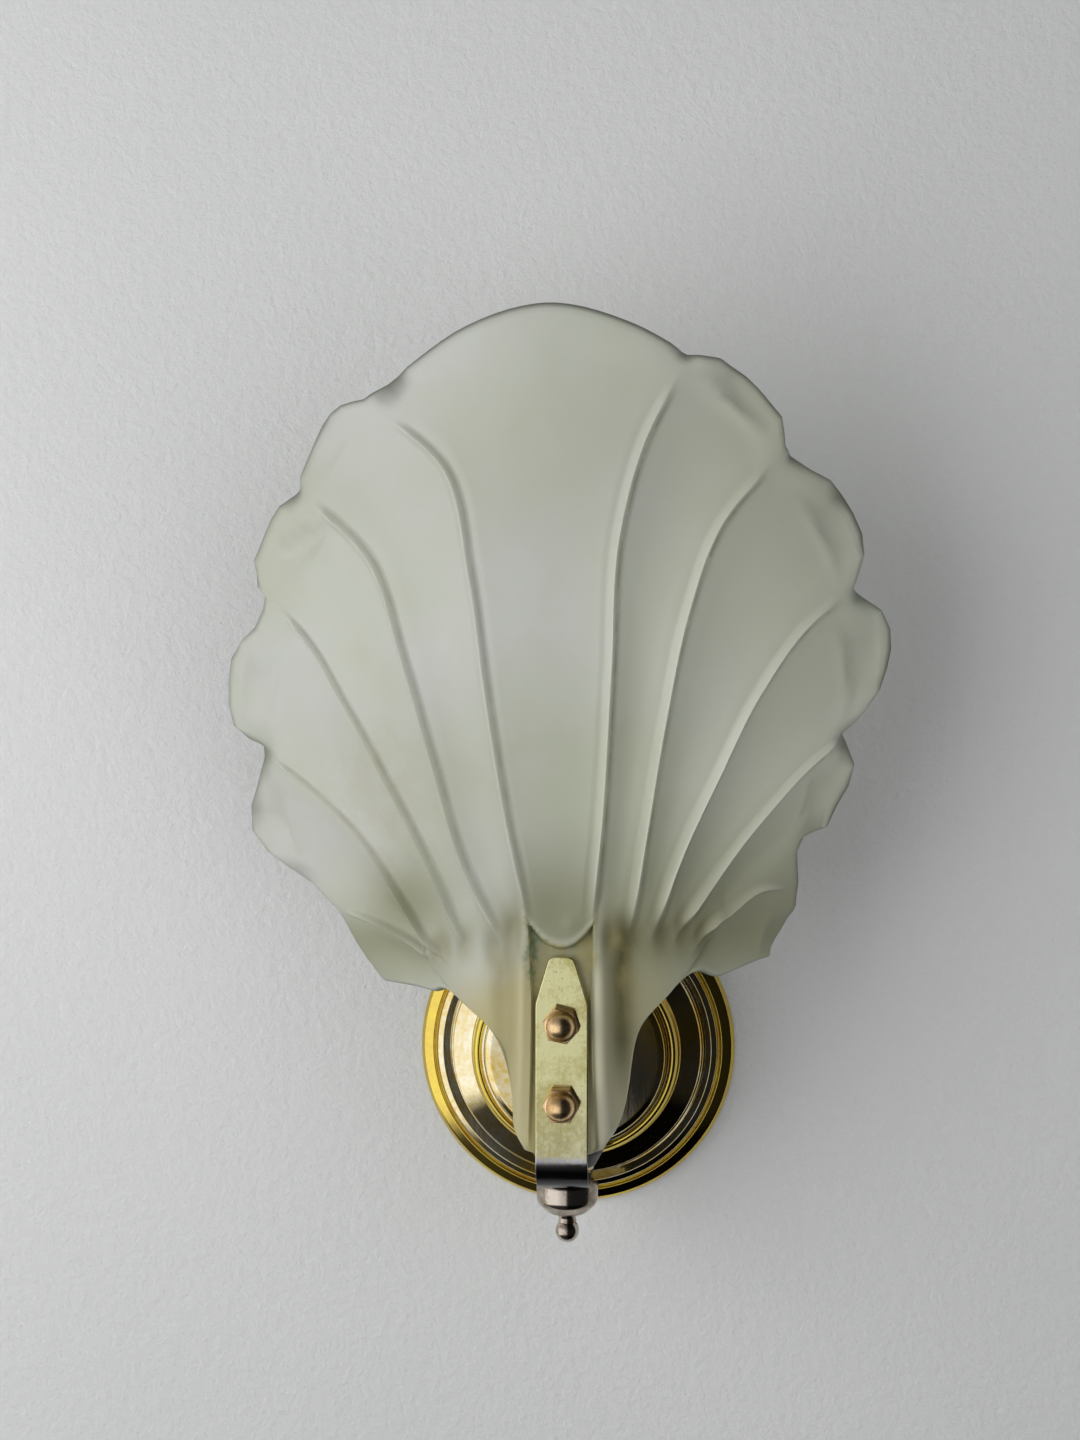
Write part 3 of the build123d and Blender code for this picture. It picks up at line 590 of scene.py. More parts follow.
@dataclass(frozen=True)
class FrostedGlass(Finish):
    """Acid-frosted pressed glass: grey-white, greener where it is thick, stained near the metal, with painted
    highlight, shade and shadow in its colour.
    """

    pale: Colour = (0.645, 0.655, 0.612)
    green: Colour = (0.57, 0.595, 0.47)
    # paler colour laid on the right side: painted light
    sunlit: Colour = (0.78, 0.80, 0.66)
    # darker green where the glass is thick, and painted shade near the hub, on the lower flanks and near the
    # top
    thick_glass_and_shade: Colour = (0.27, 0.27, 0.145)
    # painted shadow in the neck's valleys, the hub's pits and the gap beside the strip
    valley: Colour = (0.085, 0.08, 0.03)
    # the rim's dark edge line, and painted shade where the rim folds back at the notches
    edge: Colour = (0.055, 0.065, 0.03)
    # painted highlight on the rib crests, the neck's ridges and sides and the channel's lip
    ridge: Colour = (0.76, 0.76, 0.66)
    glow: Colour = (0.58, 0.50, 0.20)
    stain: Colour = (0.40, 0.34, 0.13)
    # dirt and painted shade in the line at each rib's right foot, away from the light
    dirt_and_shade: Colour = (0.20, 0.19, 0.10)
    copper_green: Colour = (0.17, 0.26, 0.13)

    def lay(self, paint: Paint) -> None:
        """Lay the frosted glass, its marks from the mesh, among them painted highlight, shade and shadow, and
        the etched skin.

        Args:
            paint: The material that gets the nodes.
        """
        across = paint.across()
        # random green clouds, pushed greener towards the right: painted shade
        clouds = paint.combine("ADD", paint.noise(16), paint.spread(across, (-0.07, 0.09), (-0.05, 0.1)))
        body = paint.blend(paint.spread(clouds, (0.36, 0.64)), self.pale, self.green)
        # paler again right of the middle, towards the sunlit colour: painted light
        body = paint.blend(paint.spread(across, (0.0, 0.06), (0.0, 0.6)), body, self.sunlit)
        # painted highlight, thick glass with painted shade, the neck's warm tone, and painted shadow
        for mark, most, colour in (("painted_highlight", 0.5, self.ridge), ("thick", 0.8, self.thick_glass_and_shade),
                                   ("warm", 0.7, self.glow), ("shadow", 0.97, self.valley)):
            body = paint.blend(paint.mark(mark, most), body, colour)
        # dirt and painted shade at the ribs' feet, then stains and verdigris
        for mark, spots, colour in (
            ("rib_foot_dirt_and_shade", paint.blotches(120, 5, 0.7, (0.40, 0.60), (0.08, 0.6)), self.dirt_and_shade),
            ("stain", paint.blotches(150, 6, 0.7, (0.3, 0.62), (0.0, 0.85)), self.stain),
            ("verdigris", paint.blotches(420, 4, 0.6, (0.45, 0.6)), self.copper_green),
        ):
            body = paint.blend(paint.combine("MULTIPLY", paint.attribute(mark), spots), body, colour)
        paint.cover(paint.blend(paint.mark("edge", 0.9), body, self.edge))
        etched = paint.noise(1400, 3, 0.6)
        paint.roughen(paint.spread(etched, (0.3, 0.7), (0.42, 0.56)))
        paint.bump(etched, 0.00004, 0.35)
        paint.number(Transmission_Weight=0.26, IOR=1.5, Subsurface_Weight=0.2, Subsurface_Scale=0.003)
        paint.shader.inputs["Subsurface Radius"].default_value = (1.0, 1.0, 0.8)


# ---------------------------------------------------------------- the pressed shade
@dataclass(frozen=True)
class SoftSpot:
    """An oval on the shade's face whose strength fades outwards, in millimetres."""

    x: float
    z: float
    wide: float
    high: float
    strength: float = 1.0

    def over(self, x: np.ndarray, z: np.ndarray) -> np.ndarray:
        """The spot's strength at each point."""
        return self.strength * mound(x - self.x, self.wide) * mound(z - self.z, self.high)


@dataclass(frozen=True)
class ThumbPrint:
    """An oval dent near the rim with a low lip round it, in millimetres and degrees."""

    x: float
    z: float
    long: float
    wide: float
    turn: float
    depth: float
    lip: float = 0.22  # the lip's height, as a share of the depth
    lip_at: float = 1.3  # where the lip runs; the oval's edge is at 1
    lip_half: float = 0.2
    steepness: int = 7

    def over(self, x: np.ndarray, z: np.ndarray) -> np.ndarray:
        """How far the print moves the wall outwards.

        Args:
            x: Points on the face.
            z: Their heights.

        Returns:
            Millimetres at each point, negative in the dent.
        """
        c, s = math.cos(math.radians(self.turn)), math.sin(math.radians(self.turn))
        right, up = x - self.x, z - self.z
        away = np.hypot((right * c + up * s) / self.long, (up * c - right * s) / self.wide)
        lip = self.lip * mound(away - self.lip_at, self.lip_half)
        return self.depth * (lip - mound(away, 1.0, self.steepness))


@dataclass(frozen=True)
class Fold:
    """A place where the rim folds back and gets painted shade, in millimetres."""

    x: float
    z: float
    radius: float

    def over(self, x: np.ndarray, z: np.ndarray, power: int, growth: float = 1.0) -> np.ndarray:
        """The fold's strength at each point; growth widens it."""
        return mound(np.hypot(x - self.x, z - self.z), self.radius * growth, power)


@dataclass
class FaceGrid:
    """The shade's grid on its face: rows from the neck's foot to the rim, columns from left to right."""

    x: np.ndarray
    z: np.ndarray
    flute: np.ndarray  # the flute of each column
    share: np.ndarray  # place across the flute, from 0 to 1
    width: np.ndarray  # the flute's width
    rise: np.ndarray  # place along the fan line, from 0 at the foot to 1 at the rim
    foot: np.ndarray  # distance to the foot
    rim: np.ndarray  # distance to the rim
    side: np.ndarray  # distance to the nearer side

    @property
    def border(self) -> np.ndarray:
        """Distance to the nearest border."""
        return np.minimum(np.minimum(self.rim, self.foot), self.side)


@dataclass
class ShellShade:
    """The scallop: twelve flutes between thirteen fan lines, a lobed rim and a neck with a channel.

    Points are (x, z) in millimetres.
    """

    # the neck's left edge, the channel's two edges and the neck's right edge, from the foot to the hub
    neck_edges: tuple[Line, ...] = (
        ((-10.8, -17.6), (-13.1, -12), (-13.5, -1), (-15.2, 7), (-19.7, 18.5)),
        ((-8.6, -18.0), (-8.8, -12), (-8.8, -1), (-8.8, 8), (-8.9, 24)),
        ((8.6, -18.0), (8.8, -12), (8.8, -1), (8.8, 8), (8.9, 24)),
        ((11.6, -17.0), (15.2, -10.8), (18.9, 2.5), (19.9, 9), (21.2, 18.5)),
    )
    # the fan lines from the hub up; the middle one carries no rib
    fan: tuple[Line, ...] = (
        ((-27.5, 25.6), (-40, 29.9), (-57, 31)),
        ((-37.5, 40), (-42.4, 44), (-50.2, 48.8), (-61.5, 53), (-72.1, 53.7)),
        ((-34, 40.5), (-39.3, 44.8), (-46.7, 56), (-64.6, 81), (-83.6, 97), (-97.7, 104.9)),
        ((-27.5, 43.5), (-37, 64.4), (-51.1, 93.8), (-64, 118.5), (-77, 139), (-92.7, 152.2)),
        ((-17.5, 46.5), (-29.2, 72.4), (-37, 101.8), (-45, 132), (-55.3, 161.7), (-81.1, 185)),
        ((-9.8, 51.5), (-15.5, 86.2), (-20.3, 121), (-24.9, 157.4), (-32.2, 188.2), (-58.8, 210.6)),
        ((0, 52), (-1, 110), (-2, 170), (-2.6, 237.3)),
        ((9.1, 51.5), (12.8, 89.4), (15.7, 132.4), (17.8, 168.5), (24.6, 195.6), (38.3, 222.8)),
        ((19.6, 50.5), (25.1, 80.4), (30.9, 115.3), (37.2, 146.3), (46.8, 172.8), (66.7, 196.3)),
        ((26.5, 50), (33.5, 69.7), (45.7, 97.6), (58.3, 123.4), (75.4, 146), (88.4, 154.5)),
        ((33, 48.5), (42.9, 63.3), (60.1, 86.6), (77.5, 104.5), (85.8, 110.4)),
        ((38.5, 45), (50.1, 56.8), (58.9, 63.1), (71.8, 62.6)),
        ((30, 29.5), (47.5, 35.1), (62.5, 40.3)),
    )
    # the rim over each flute, from notch to notch; the two flutes beside the middle share one lobe
    lobes: tuple[Line, ...] = (
        ((-57, 31), (-65.1, 41.3), (-72.1, 53.7)),
        ((-72.1, 53.7), (-89.8, 65.8), (-100, 72.2), (-104.6, 81), (-97.6, 95.8), (-97.7, 104.9)),
        ((-97.7, 104.9), (-107, 111.5), (-107.8, 124.5), (-104.3, 136.5), (-94.4, 145), (-92.7, 152.2)),
        ((-92.7, 152.2), (-97.8, 158.6), (-94.3, 167.8), (-88.3, 178.5), (-81.1, 185)),
        ((-81.1, 185), (-78.7, 192.5), (-73, 202.7), (-67, 208.8), (-58.8, 210.6)),
        ((-58.8, 210.6), (-45.7, 219.2), (-27.6, 230.7), (-2.6, 237.3), (21.6, 231.5), (38.3, 222.8)),
        ((38.3, 222.8), (47.9, 221.4), (57.5, 216.2), (65.2, 205.5), (66.7, 196.3)),
        ((66.7, 196.3), (73.8, 190), (83.2, 185), (90.7, 170.2), (88.4, 154.5)),
        ((88.4, 154.5), (97.6, 146.2), (99.8, 136), (94.5, 121), (85.8, 110.4)),
        ((85.8, 110.4), (88.8, 103.5), (84.5, 88.7), (79.4, 80.4), (73.2, 78), (71.8, 62.6)),
        ((71.8, 62.6), (70.2, 53.5), (62.5, 40.3)),
    )
    lobe_top: int = 3  # the point of the middle lobe where the middle line ends
    middle: int = 6  # the middle fan line
    hub: float = 0.3  # share of each line's rows that lies below the hub
    draw_in: float = 0.9935  # keeps the rolled rim inside the solid's width

    # the plain face
    neck_out: float = 91.0
    foot_height: float = -20.0
    belly: float = 25.7  # how much further out the fan stands than the neck
    belly_from: float = 30.0
    belly_full: float = 150.0
    top_height: float = 237.4
    top_fall: float = 5.0
    fan_roll: float = 0.0047  # how fast the sides fall back towards the wall
    neck_roll: float = 0.035
    roll_fade: float = 22.0

    # the glass and its edge
    glass: float = 4.0
    neck_glass: float = 7.0
    roundness: float = 0.9  # the edge's rounding, as a share of half the glass
    curl: float = 0.56  # how far the rim turns back
    curl_fade: float = 7.0

    # ribs and flutes
    rib_ends: Shares = (0, 3, 6, 9, 8, 12, 0, 10, 9, 5, 1, 3, 0)  # how far before the rim each rib stops
    rib_fade: float = 9.0
    rib_rise: float = 1.2
    rib_crest: float = 0.85
    rib_shoulder: float = 4.2
    shoulder_share: float = 0.42
    rib_foot: float = 2.2
    foot_half: float = 0.8
    foot_depth: float = 0.42
    flute_depth: float = 2.3
    full_flute: float = 16.0  # a flute this wide has its whole depth
    middle_depth: float = 1.7
    rim_calm: float = 16.0  # the flutes fade out this far before the rim
    ripple: float = 0.22

    # the neck
    ridge_at: float = 11.3
    ridge_half: float = 1.9
    ridge_rise: float = 1.1
    valley_at: float = 17.0
    valley_half: float = 3.0
    valley_depth: float = 1.5
    channel_out: float = 87.5
    channel_half: float = 8.4
    channel_top: float = 46.4
    channel_flare: float = 0.04
    flare_from: float = 30.0
    channel_arch: float = 0.085
    channel_lean: float = 0.06

    # the grid
    foot_rows: Shares = (0.0, 0.0015, 0.005, 0.011, 0.02)
    rim_rows: Shares = (0.0075, 0.0045, 0.0022, 0.0008, 0.0)  # measured back from the rim
    neck_from: float = 0.028
    step_from: float = 0.24  # the channel's upper end lies between here and just above the hub
    hub_margin: float = 0.02
    neck_rows: int = 33
    step_rows: int = 39
    fan_rows: int = 114
    rib_columns: int = 6
    flute_columns: int = 7
    middle_columns: int = 13
    rib_zone: float = 3.4  # this far beside each rib the columns lie closer together
    most_zone: float = 0.3
    crowding: float = 1.4

    prints: tuple[ThumbPrint, ...] = (
        ThumbPrint(56, 213, 10.5, 6, -48, 3.2), ThumbPrint(83.5, 174.5, 9.5, 6, -72, 3.0),
        ThumbPrint(92.5, 134, 9.5, 6, -98, 3.0), ThumbPrint(80, 92, 8, 5, -110, 2.2),
        ThumbPrint(66, 48, 7, 4.5, -120, 1.8), ThumbPrint(-81, 167, 10.5, 4, 30, 2.0),
        ThumbPrint(-96, 122, 9, 5, 95, 1.5), ThumbPrint(-95, 82, 9, 5, 110, 2.0),
        ThumbPrint(-72, 196, 10, 5, 50, 1.2),
    )
    folds: tuple[Fold, ...] = (
        Fold(-50, 214.5, 5), Fold(-83, 184, 4), Fold(-97.5, 158.5, 2.5), Fold(-104.5, 137, 2.5),
        Fold(-96.5, 103, 5), Fold(-104, 82, 4), Fold(37.5, 223.5, 2.8), Fold(70, 193, 3),
        Fold(83, 184.5, 3.5), Fold(91.5, 152, 4.5), Fold(87, 107.5, 4.5), Fold(76, 77, 4), Fold(-84, 62, 4),
    )
    fold_depth: float = 2.2
    # ends of the valleys between the ribs at the hub
    pits: Line = ((14.8, 50), (21.6, 49.5), (29.8, 50.5), (35.8, 51), (41.5, 49), (-20, 46.5), (-29, 46),
                  (-14, 52), (-36, 45))
    pit_depth: float = 1.1
    channel_lips: tuple[SoftSpot, ...] = (SoftSpot(2.8, 54, 2.2, 2.6, 0.35), SoftSpot(0, 58, 7.0, 8.0, -0.7))

    # the finish
    left_grime: SoftSpot = SoftSpot(-55, 92, 22, 26, 0.25)
    # a painted highlight where the neck's left shoulder catches the light; it lightens the thick and warm
    # marks there
    shoulder_highlight: SoftSpot = SoftSpot(-26, 41, 11, 14)
    # darker patches on the lower flanks: thick glass and painted shade
    wings: tuple[SoftSpot, ...] = (SoftSpot(-49, 57, 14, 13), SoftSpot(48, 56, 18, 16, 0.8))

    @property
    def flutes(self) -> int:
        """Number of flutes."""
        return len(self.fan) - 1

    def face_out(self, x: np.ndarray, z: np.ndarray) -> np.ndarray:
        """How far the plain face stands out from the wall.

        Args:
            x: Points on the face.
            z: Their heights.

        Returns:
            Millimetres at each point.
        """
        belly = self.belly * ramp(z, self.belly_from, self.belly_full)
        over_belly = np.clip(z - self.belly_full, 0, None) / (self.top_height - self.belly_full)
        roll = self.fan_roll + self.neck_roll * mound(z - self.foot_height, self.roll_fade, 1)
        return self.neck_out + belly - self.top_fall * over_belly**2 - roll * x * x

    def lines(self) -> list[np.ndarray]:
        """All fan lines, each as the points from the neck's foot to the rim.

        Returns:
            A chain of points for each line, from left to right.
        """
        outer_left, left, right, outer_right = (np.array(edge, float) for edge in self.neck_edges)
        share = np.linspace(0, 1, self.middle)[:, None, None]
        necks = [
            *(outer_left * (1 - share) + left * share),
            (left + right) / 2,
            *(right * (1 - share) + outer_right * share),
        ]
        return [np.concatenate([neck, np.array(fan, float)]) for neck, fan in zip(necks, self.fan)]

    def row_shares(self) -> np.ndarray:
        """Where the rows lie along the fan lines, closer together at the foot, the hub and the rim.

        Returns:
            Rising numbers from 0 to 1.
        """
        above_hub = self.hub + self.hub_margin
        neck = np.linspace(self.neck_from, self.step_from, self.neck_rows)
        step = np.linspace(self.step_from, above_hub, self.step_rows + 1)[1:]
        rim = 1 - np.array(self.rim_rows)
        fan = np.linspace(above_hub, rim[0], self.fan_rows + 2)[1:-1]
        return np.concatenate([self.foot_rows, neck, step, fan, rim])

    def column_shares(self, widths: np.ndarray) -> tuple[np.ndarray, np.ndarray]:
        """Where the columns lie in each flute of one row.

        Args:
            widths: The row's flute widths.

        Returns:
            The flute of each column, and its share of that flute's width.
        """
        near = (np.arange(self.rib_columns) / self.rib_columns) ** self.crowding
        flutes, shares = [], []
        for flute, width in enumerate(widths):
            wide = flute in (self.middle - 1, self.middle)
            zone = min(self.rib_zone / width, self.most_zone)
            between = np.linspace(zone, 1 - zone, (self.middle_columns if wide else self.flute_columns) + 1)
            row = np.concatenate([near * zone, between, 1 - near[:0:-1] * zone])
            flutes.append(np.full(len(row), flute))
            shares.append(row)
        flutes.append(np.array([len(widths) - 1]))
        shares.append(np.array([1.0]))
        return np.concatenate(flutes), np.concatenate(shares)

    def rim_over(self, flute: int, share: np.ndarray) -> np.ndarray:
        """The rim over one flute.

        Args:
            flute: The flute's number.
            share: Places across it, from 0 to 1.

        Returns:
            A point of the rim for each place.
        """
        points = np.array(self.lobes[flute if flute < self.middle else flute - 1], float)
        knots = reach_of(points)
        start, end = 0.0, knots[-1]
        if flute == self.middle - 1:
            end = knots[self.lobe_top]
        elif flute == self.middle:
            start = knots[self.lobe_top]
        return curve(points, knots, start + share * (end - start))

    def on_line(self, line: np.ndarray, above: int, rows: np.ndarray) -> np.ndarray:
        """Points on one fan line, with the hub at the same share of every line.

        Args:
            line: The line's points.
            above: How many of them belong to the fan.
            rows: Where the rows lie, from 0 to 1.

        Returns:
            A point for each row.
        """
        knots = reach_of(line)
        at_hub = knots[len(line) - above]
        over_hub = self.hub + (1 - self.hub) * (knots - at_hub) / (knots[-1] - at_hub)
        return curve(line, np.where(knots < at_hub, self.hub * knots / at_hub, over_hub), rows)

    def layout(self) -> FaceGrid:
        """Lay the grid over the face, between the fan lines and out to the lobes.

        Returns:
            The grid, with its distances to the borders.
        """
        rows = self.row_shares()
        lines = [self.on_line(line, len(fan), rows) for line, fan in zip(self.lines(), self.fan)]
        on_lines = np.stack(lines, axis=1)
        straight_rim = on_lines[-1]
        rim_reach = reach_of(straight_rim)
        places, shares, widths = [], [], []
        for rise, row in zip(rows, on_lines):
            reach = reach_of(row)
            flute, share = self.column_shares(np.diff(reach))
            width = np.diff(reach)[flute]
            place = curve(row, reach, reach[flute] + share * width)
            bulge = max((rise - self.hub) / (1 - self.hub), 0.0) ** 5
            if bulge > 0:
                rim_width = np.diff(rim_reach)[flute]
                straight = curve(straight_rim, rim_reach, rim_reach[flute] + share * rim_width)
                lobed = np.concatenate([self.rim_over(f, share[flute == f]) for f in range(self.flutes)])
                place += bulge * (lobed - straight)
            places.append(place)
            shares.append(share)
            widths.append(width)
        grid = np.array(places)
        along, across = (np.linalg.norm(np.diff(grid, axis=axis), axis=2) for axis in (0, 1))
        from_foot = np.concatenate([np.zeros((1, grid.shape[1])), np.cumsum(along, axis=0)])
        from_left = np.concatenate([np.zeros((grid.shape[0], 1)), np.cumsum(across, axis=1)], axis=1)
        return FaceGrid(
            x=grid[..., 0], z=grid[..., 1], flute=flute, share=np.array(shares), width=np.array(widths),
            rise=rows[:, None] + 0 * from_foot, foot=from_foot, rim=from_foot[-1] - from_foot,
            side=np.minimum(from_left, from_left[:, -1:] - from_left),
        )

    def pressed(self, at: FaceGrid) -> np.ndarray:
        """How far the whole wall stands out where it is pressed in or folded back, in millimetres."""
        prints = sum(each.over(at.x, at.z) for each in self.prints)
        return prints - self.fold_depth * sum(fold.over(at.x, at.z, 3) for fold in self.folds)

    def hollows(self, at: FaceGrid) -> np.ndarray:
        """Depth of the flutes.

        Args:
            at: The face's grid.

        Returns:
            Millimetres at each point, as if the flutes ran down the neck too.
        """
        beside_middle = (at.flute == self.middle - 1) | (at.flute == self.middle)
        toward_middle = np.where(at.flute == self.middle, 1 - at.share, at.share)
        middle = self.middle_depth * toward_middle * (2 - toward_middle) * (0.4 + 0.6 * ramp(at.z, 45, 120))
        others = self.flute_depth * 4 * at.share * (1 - at.share)
        others = others * np.clip(at.width / self.full_flute, 0.35, 1.0)
        return np.where(beside_middle, middle, others) * ramp(at.rim, 0.0, self.rim_calm)

    def ribs(self, at: FaceGrid, on_fan: np.ndarray) -> tuple[np.ndarray, np.ndarray, np.ndarray]:
        """The ribs on the fan lines.

        Args:
            at: The face's grid.
            on_fan: 1 on the fan, 0 on the neck.

        Returns:
            The ribs' height in millimetres, and from 0 to 1 their crests and the dark lines at their right
            feet, dirt and painted shade.
        """
        height, crests, foot_dirt_and_shade = (np.zeros_like(at.x) for _ in range(3))
        line_columns = np.flatnonzero(np.isclose(at.share[-1], 0.0))
        ribbed = [line for line in range(1, self.flutes) if line != self.middle]
        right_of_line = (at.share * at.width, at.flute)
        left_of_line = ((1 - at.share) * at.width, at.flute + 1)
        for away, lines in (right_of_line, left_of_line):
            for line in ribbed:
                to_rim = at.rim[:, line_columns[line]][:, None]
                alive = on_fan * ramp(to_rim, self.rib_ends[line], self.rib_ends[line] + self.rib_fade)
                off = np.where(lines == line, away, FAR)
                rise = mound(off, self.rib_crest) + self.shoulder_share * mound(off, self.rib_shoulder)
                foot = self.foot_depth * mound(off - self.rib_foot, self.foot_half)
                height += alive * (self.rib_rise * rise - foot)
                crests = np.maximum(crests, alive * mound(off, 1.0))
                # a dark line at each rib's right foot, on the side away from the light: dirt and painted
                # shade
                if lines is at.flute:
                    foot_dirt_and_shade = np.maximum(foot_dirt_and_shade, alive * mound(off - 1.3, 0.5))
        return height, crests, foot_dirt_and_shade

    def neck_relief(self, at: FaceGrid) -> np.ndarray:
        """The ridges and valleys beside the channel, and the hollows round the hub.

        Args:
            at: The face's grid.

        Returns:
            Height in millimetres at each point.
        """
        off = np.abs(at.x)
        ridge = self.ridge_rise * mound(off - self.ridge_at, self.ridge_half) * (1 - ramp(at.z, 34, 56))
        valley = mound(off - self.valley_at, self.valley_half) * ramp(at.z, -6, 18) * (1 - ramp(at.z, 38, 50))
        height = ridge - self.valley_depth * valley * ramp(at.side, 1.0, 5.0)
        hollows = [SoftSpot(x, z, 2.6, 5.0, -self.pit_depth) for x, z in self.pits]
        return height + sum(spot.over(at.x, at.z) for spot in (*hollows, *self.channel_lips))

    def relief(self, at: FaceGrid) -> tuple[np.ndarray, np.ndarray, np.ndarray]:
        """All relief over the plain face.

        Args:
            at: The face's grid.

        Returns:
            Its height in millimetres, and from 0 to 1 the ribs' crests and the dark lines beside them, dirt
            and painted shade.
        """
        on_fan = ramp(at.rise, self.hub - 0.02, self.hub + 0.10)
        ribs, crests, foot_dirt_and_shade = self.ribs(at, on_fan)
        ripple = self.ripple * np.sin(at.x * 0.11 + 1.3) * np.sin(at.z * 0.07 + at.x * 0.03)
        return ribs + self.neck_relief(at) + (ripple - self.hollows(at)) * on_fan, crests, foot_dirt_and_shade

    def past_channel(self, x: np.ndarray, z: np.ndarray) -> np.ndarray:
        """How far each point lies outside the channel; negative inside it.

        Args:
            x: Points on the face.
            z: Their heights.

        Returns:
            Millimetres at each point.
        """
        flare = self.channel_flare * np.clip(z - self.flare_from, 0, None)
        past_side = np.abs(x) - self.channel_half - flare
        return np.maximum(past_side, z - self.channel_top - self.channel_arch * x * x)

    def build(self) -> Piece:
        """Model the shade as two skins of one grid that meet in a fire-rounded edge.

        Returns:
            The new object.
        """
        at = self.layout()
        x, z, border = at.x, at.z, at.border
        step = 0.5
        slope_x = (self.face_out(x + step, z) - self.face_out(x - step, z)) / (2 * step)
        slope_z = (self.face_out(x, z + step) - self.face_out(x, z - step)) / (2 * step)
        steep = np.sqrt(1 + slope_x**2 + slope_z**2)
        normal = np.stack([-slope_x, -np.ones_like(x), -slope_z], axis=2) / steep[..., None]
        half = (self.neck_glass + (self.glass - self.neck_glass) * ramp(z, 45, 80)) / 2
        into_edge = 1 - np.clip(border / (half * self.roundness), 0, 1)
        half_here = half * np.sqrt(np.clip(1 - into_edge**2, 0, 1))
        curl = self.curl * mound(border, self.curl_fade, 1) * ramp(at.rise, 0.6, 0.95)
        middle = np.stack([x, -(self.face_out(x, z) - half * steep) + curl, z], axis=2)
        middle += normal * self.pressed(at)[..., None]
        relief, crests, foot_dirt_and_shade = self.relief(at)
        front = middle + normal * (half_here + relief * ramp(border, 0.0, 4.0))[..., None]
        back = middle - normal * half_here[..., None]
        beyond = self.past_channel(x, z)
        sunk = ramp(-beyond, -0.35, 0.35 + 0.5 * ramp(z, 40, 46)) * ramp(at.foot, 0.0, 1.5)
        floor = -(self.channel_out + self.channel_lean * np.clip(z - CREASE, 0, None))
        front[..., 1] = front[..., 1] * (1 - sunk) + floor * sunk
        for skin in (front, back):
            skin[..., 0] *= self.draw_in
        # the dark lines at the ribs' right feet, dirt and painted shade, fainter on the left half
        marks = self.marks(at, crests, beyond) | {"rib_foot_dirt_and_shade": foot_dirt_and_shade * np.where(x < 0, 0.4, 1.0)}
        return self.weld(front * MM, back * MM, marks)

    def light_marks(self, at: FaceGrid, crests: np.ndarray, beyond: np.ndarray) -> np.ndarray:
        """Where the painted highlight lies: ridges, edges and crests, which catch the light.

        Args:
            at: The face's grid.
            crests: The ribs' crests.
            beyond: How far each point lies outside the channel.

        Returns:
            Strength at each point, 0 or more.
        """
        on_neck = 1 - ramp(at.z, 30, 50)
        ridges = 1.3 * on_neck * mound(np.abs(at.x) - 10.6, 1.9)
        neck_sides = 1.3 * on_neck * mound(at.side - 0.8, 1.6)
        channel_lip = 0.8 * ramp(at.z, 42, 46) * mound(beyond - 1.6, 1.2)
        return np.maximum.reduce([crests, ridges, neck_sides, channel_lip])

    def marks(self, at: FaceGrid, crests: np.ndarray, beyond: np.ndarray) -> dict[str, np.ndarray]:
        """Where the finish is greener, stained or dark, and where its painted highlight and shade lie.

        Args:
            at: The face's grid.
            crests: The ribs' crests.
            beyond: How far each point lies outside the channel.

        Returns:
            The strength at each point of every mark that the finish reads.
        """
        x, z = at.x, at.z
        on_neck = 1 - ramp(z, 30, 50)
        light = self.light_marks(at, crests, beyond)
        painted_highlight = self.shoulder_highlight.over(x, z)
        pits = np.maximum.reduce([SoftSpot(px, pz, 3.5, 6.0).over(x, z) for px, pz in self.pits])

        # painted shade where the rim folds back at the notches
        notches = [fold.over(x, z, 4, 1.15) * mound(at.border, 6.0, 1) for fold in self.folds]
        edge = np.maximum.reduce([mound(at.border, 1.4) * ramp(at.rise, 0.35, 0.5), *notches])

        groove = mound(beyond, 1.6) * ramp(z, 30, 44) * (1 - ramp(z, 56, 64))
        inside = ramp(-beyond, -1.2, 0.4)
        valleys = mound(np.abs(x) - 17.5, 4.0) * mound(z - 34, 15)
        stain = 0.75 * groove + 0.55 * valleys + 0.35 * pits + self.left_grime.over(x, z) + 0.8 * inside
        verdigris = 1.3 * groove * np.where(x < -2, 1.0, 0.15) + 0.2 * inside * ramp(z, 34, 44)

        # thick: darker and greener towards the hub, on the lower flanks and in a band near the top; partly
        # the thicker glass, partly painted shade
        starts = np.interp(x, (-14, -9, 9, 14), (42, 54, 54, 44))
        ends = np.interp(x, (-30, -10, 10, 40), (60, 90, 92, 104))
        lower = (1 - 0.45 * on_neck) * (1 - ramp((z - starts) / (ends - starts), 0, 1)) * (1 - painted_highlight)
        # less dark under the painted highlight
        lower *= 1 - np.clip(light, 0, 1) * 0.7
        thick = np.maximum(lower, sum(wing.over(x, z) for wing in self.wings) + 0.14 * mound(z - 190, 28))

        valley = np.where(x > 0, mound(x - 17.9, 3.5), 0.25 * mound(x + 16.0, 2.8))
        shadow = np.maximum.reduce([
            valley * ramp(z, -8, 22) * (1 - ramp(z, 50, 62)),
            0.6 * pits * np.where(x > 0, 1.0, 0.4),
            0.8 * mound(x - 8.9, 0.6) * on_neck,
        ])
        warm = on_neck * (0.45 + 0.75 * ramp(x, 2.0, -9.0)) * (1 - ramp(np.abs(x), 24, 38))
        warm = warm * (1 - 0.8 * painted_highlight)
        return {"edge": edge, "stain": np.clip(stain, 0, 1), "verdigris": np.clip(verdigris, 0, 1),
                "painted_highlight": light, "thick": np.clip(thick, 0, 1), "shadow": shadow, "warm": warm}

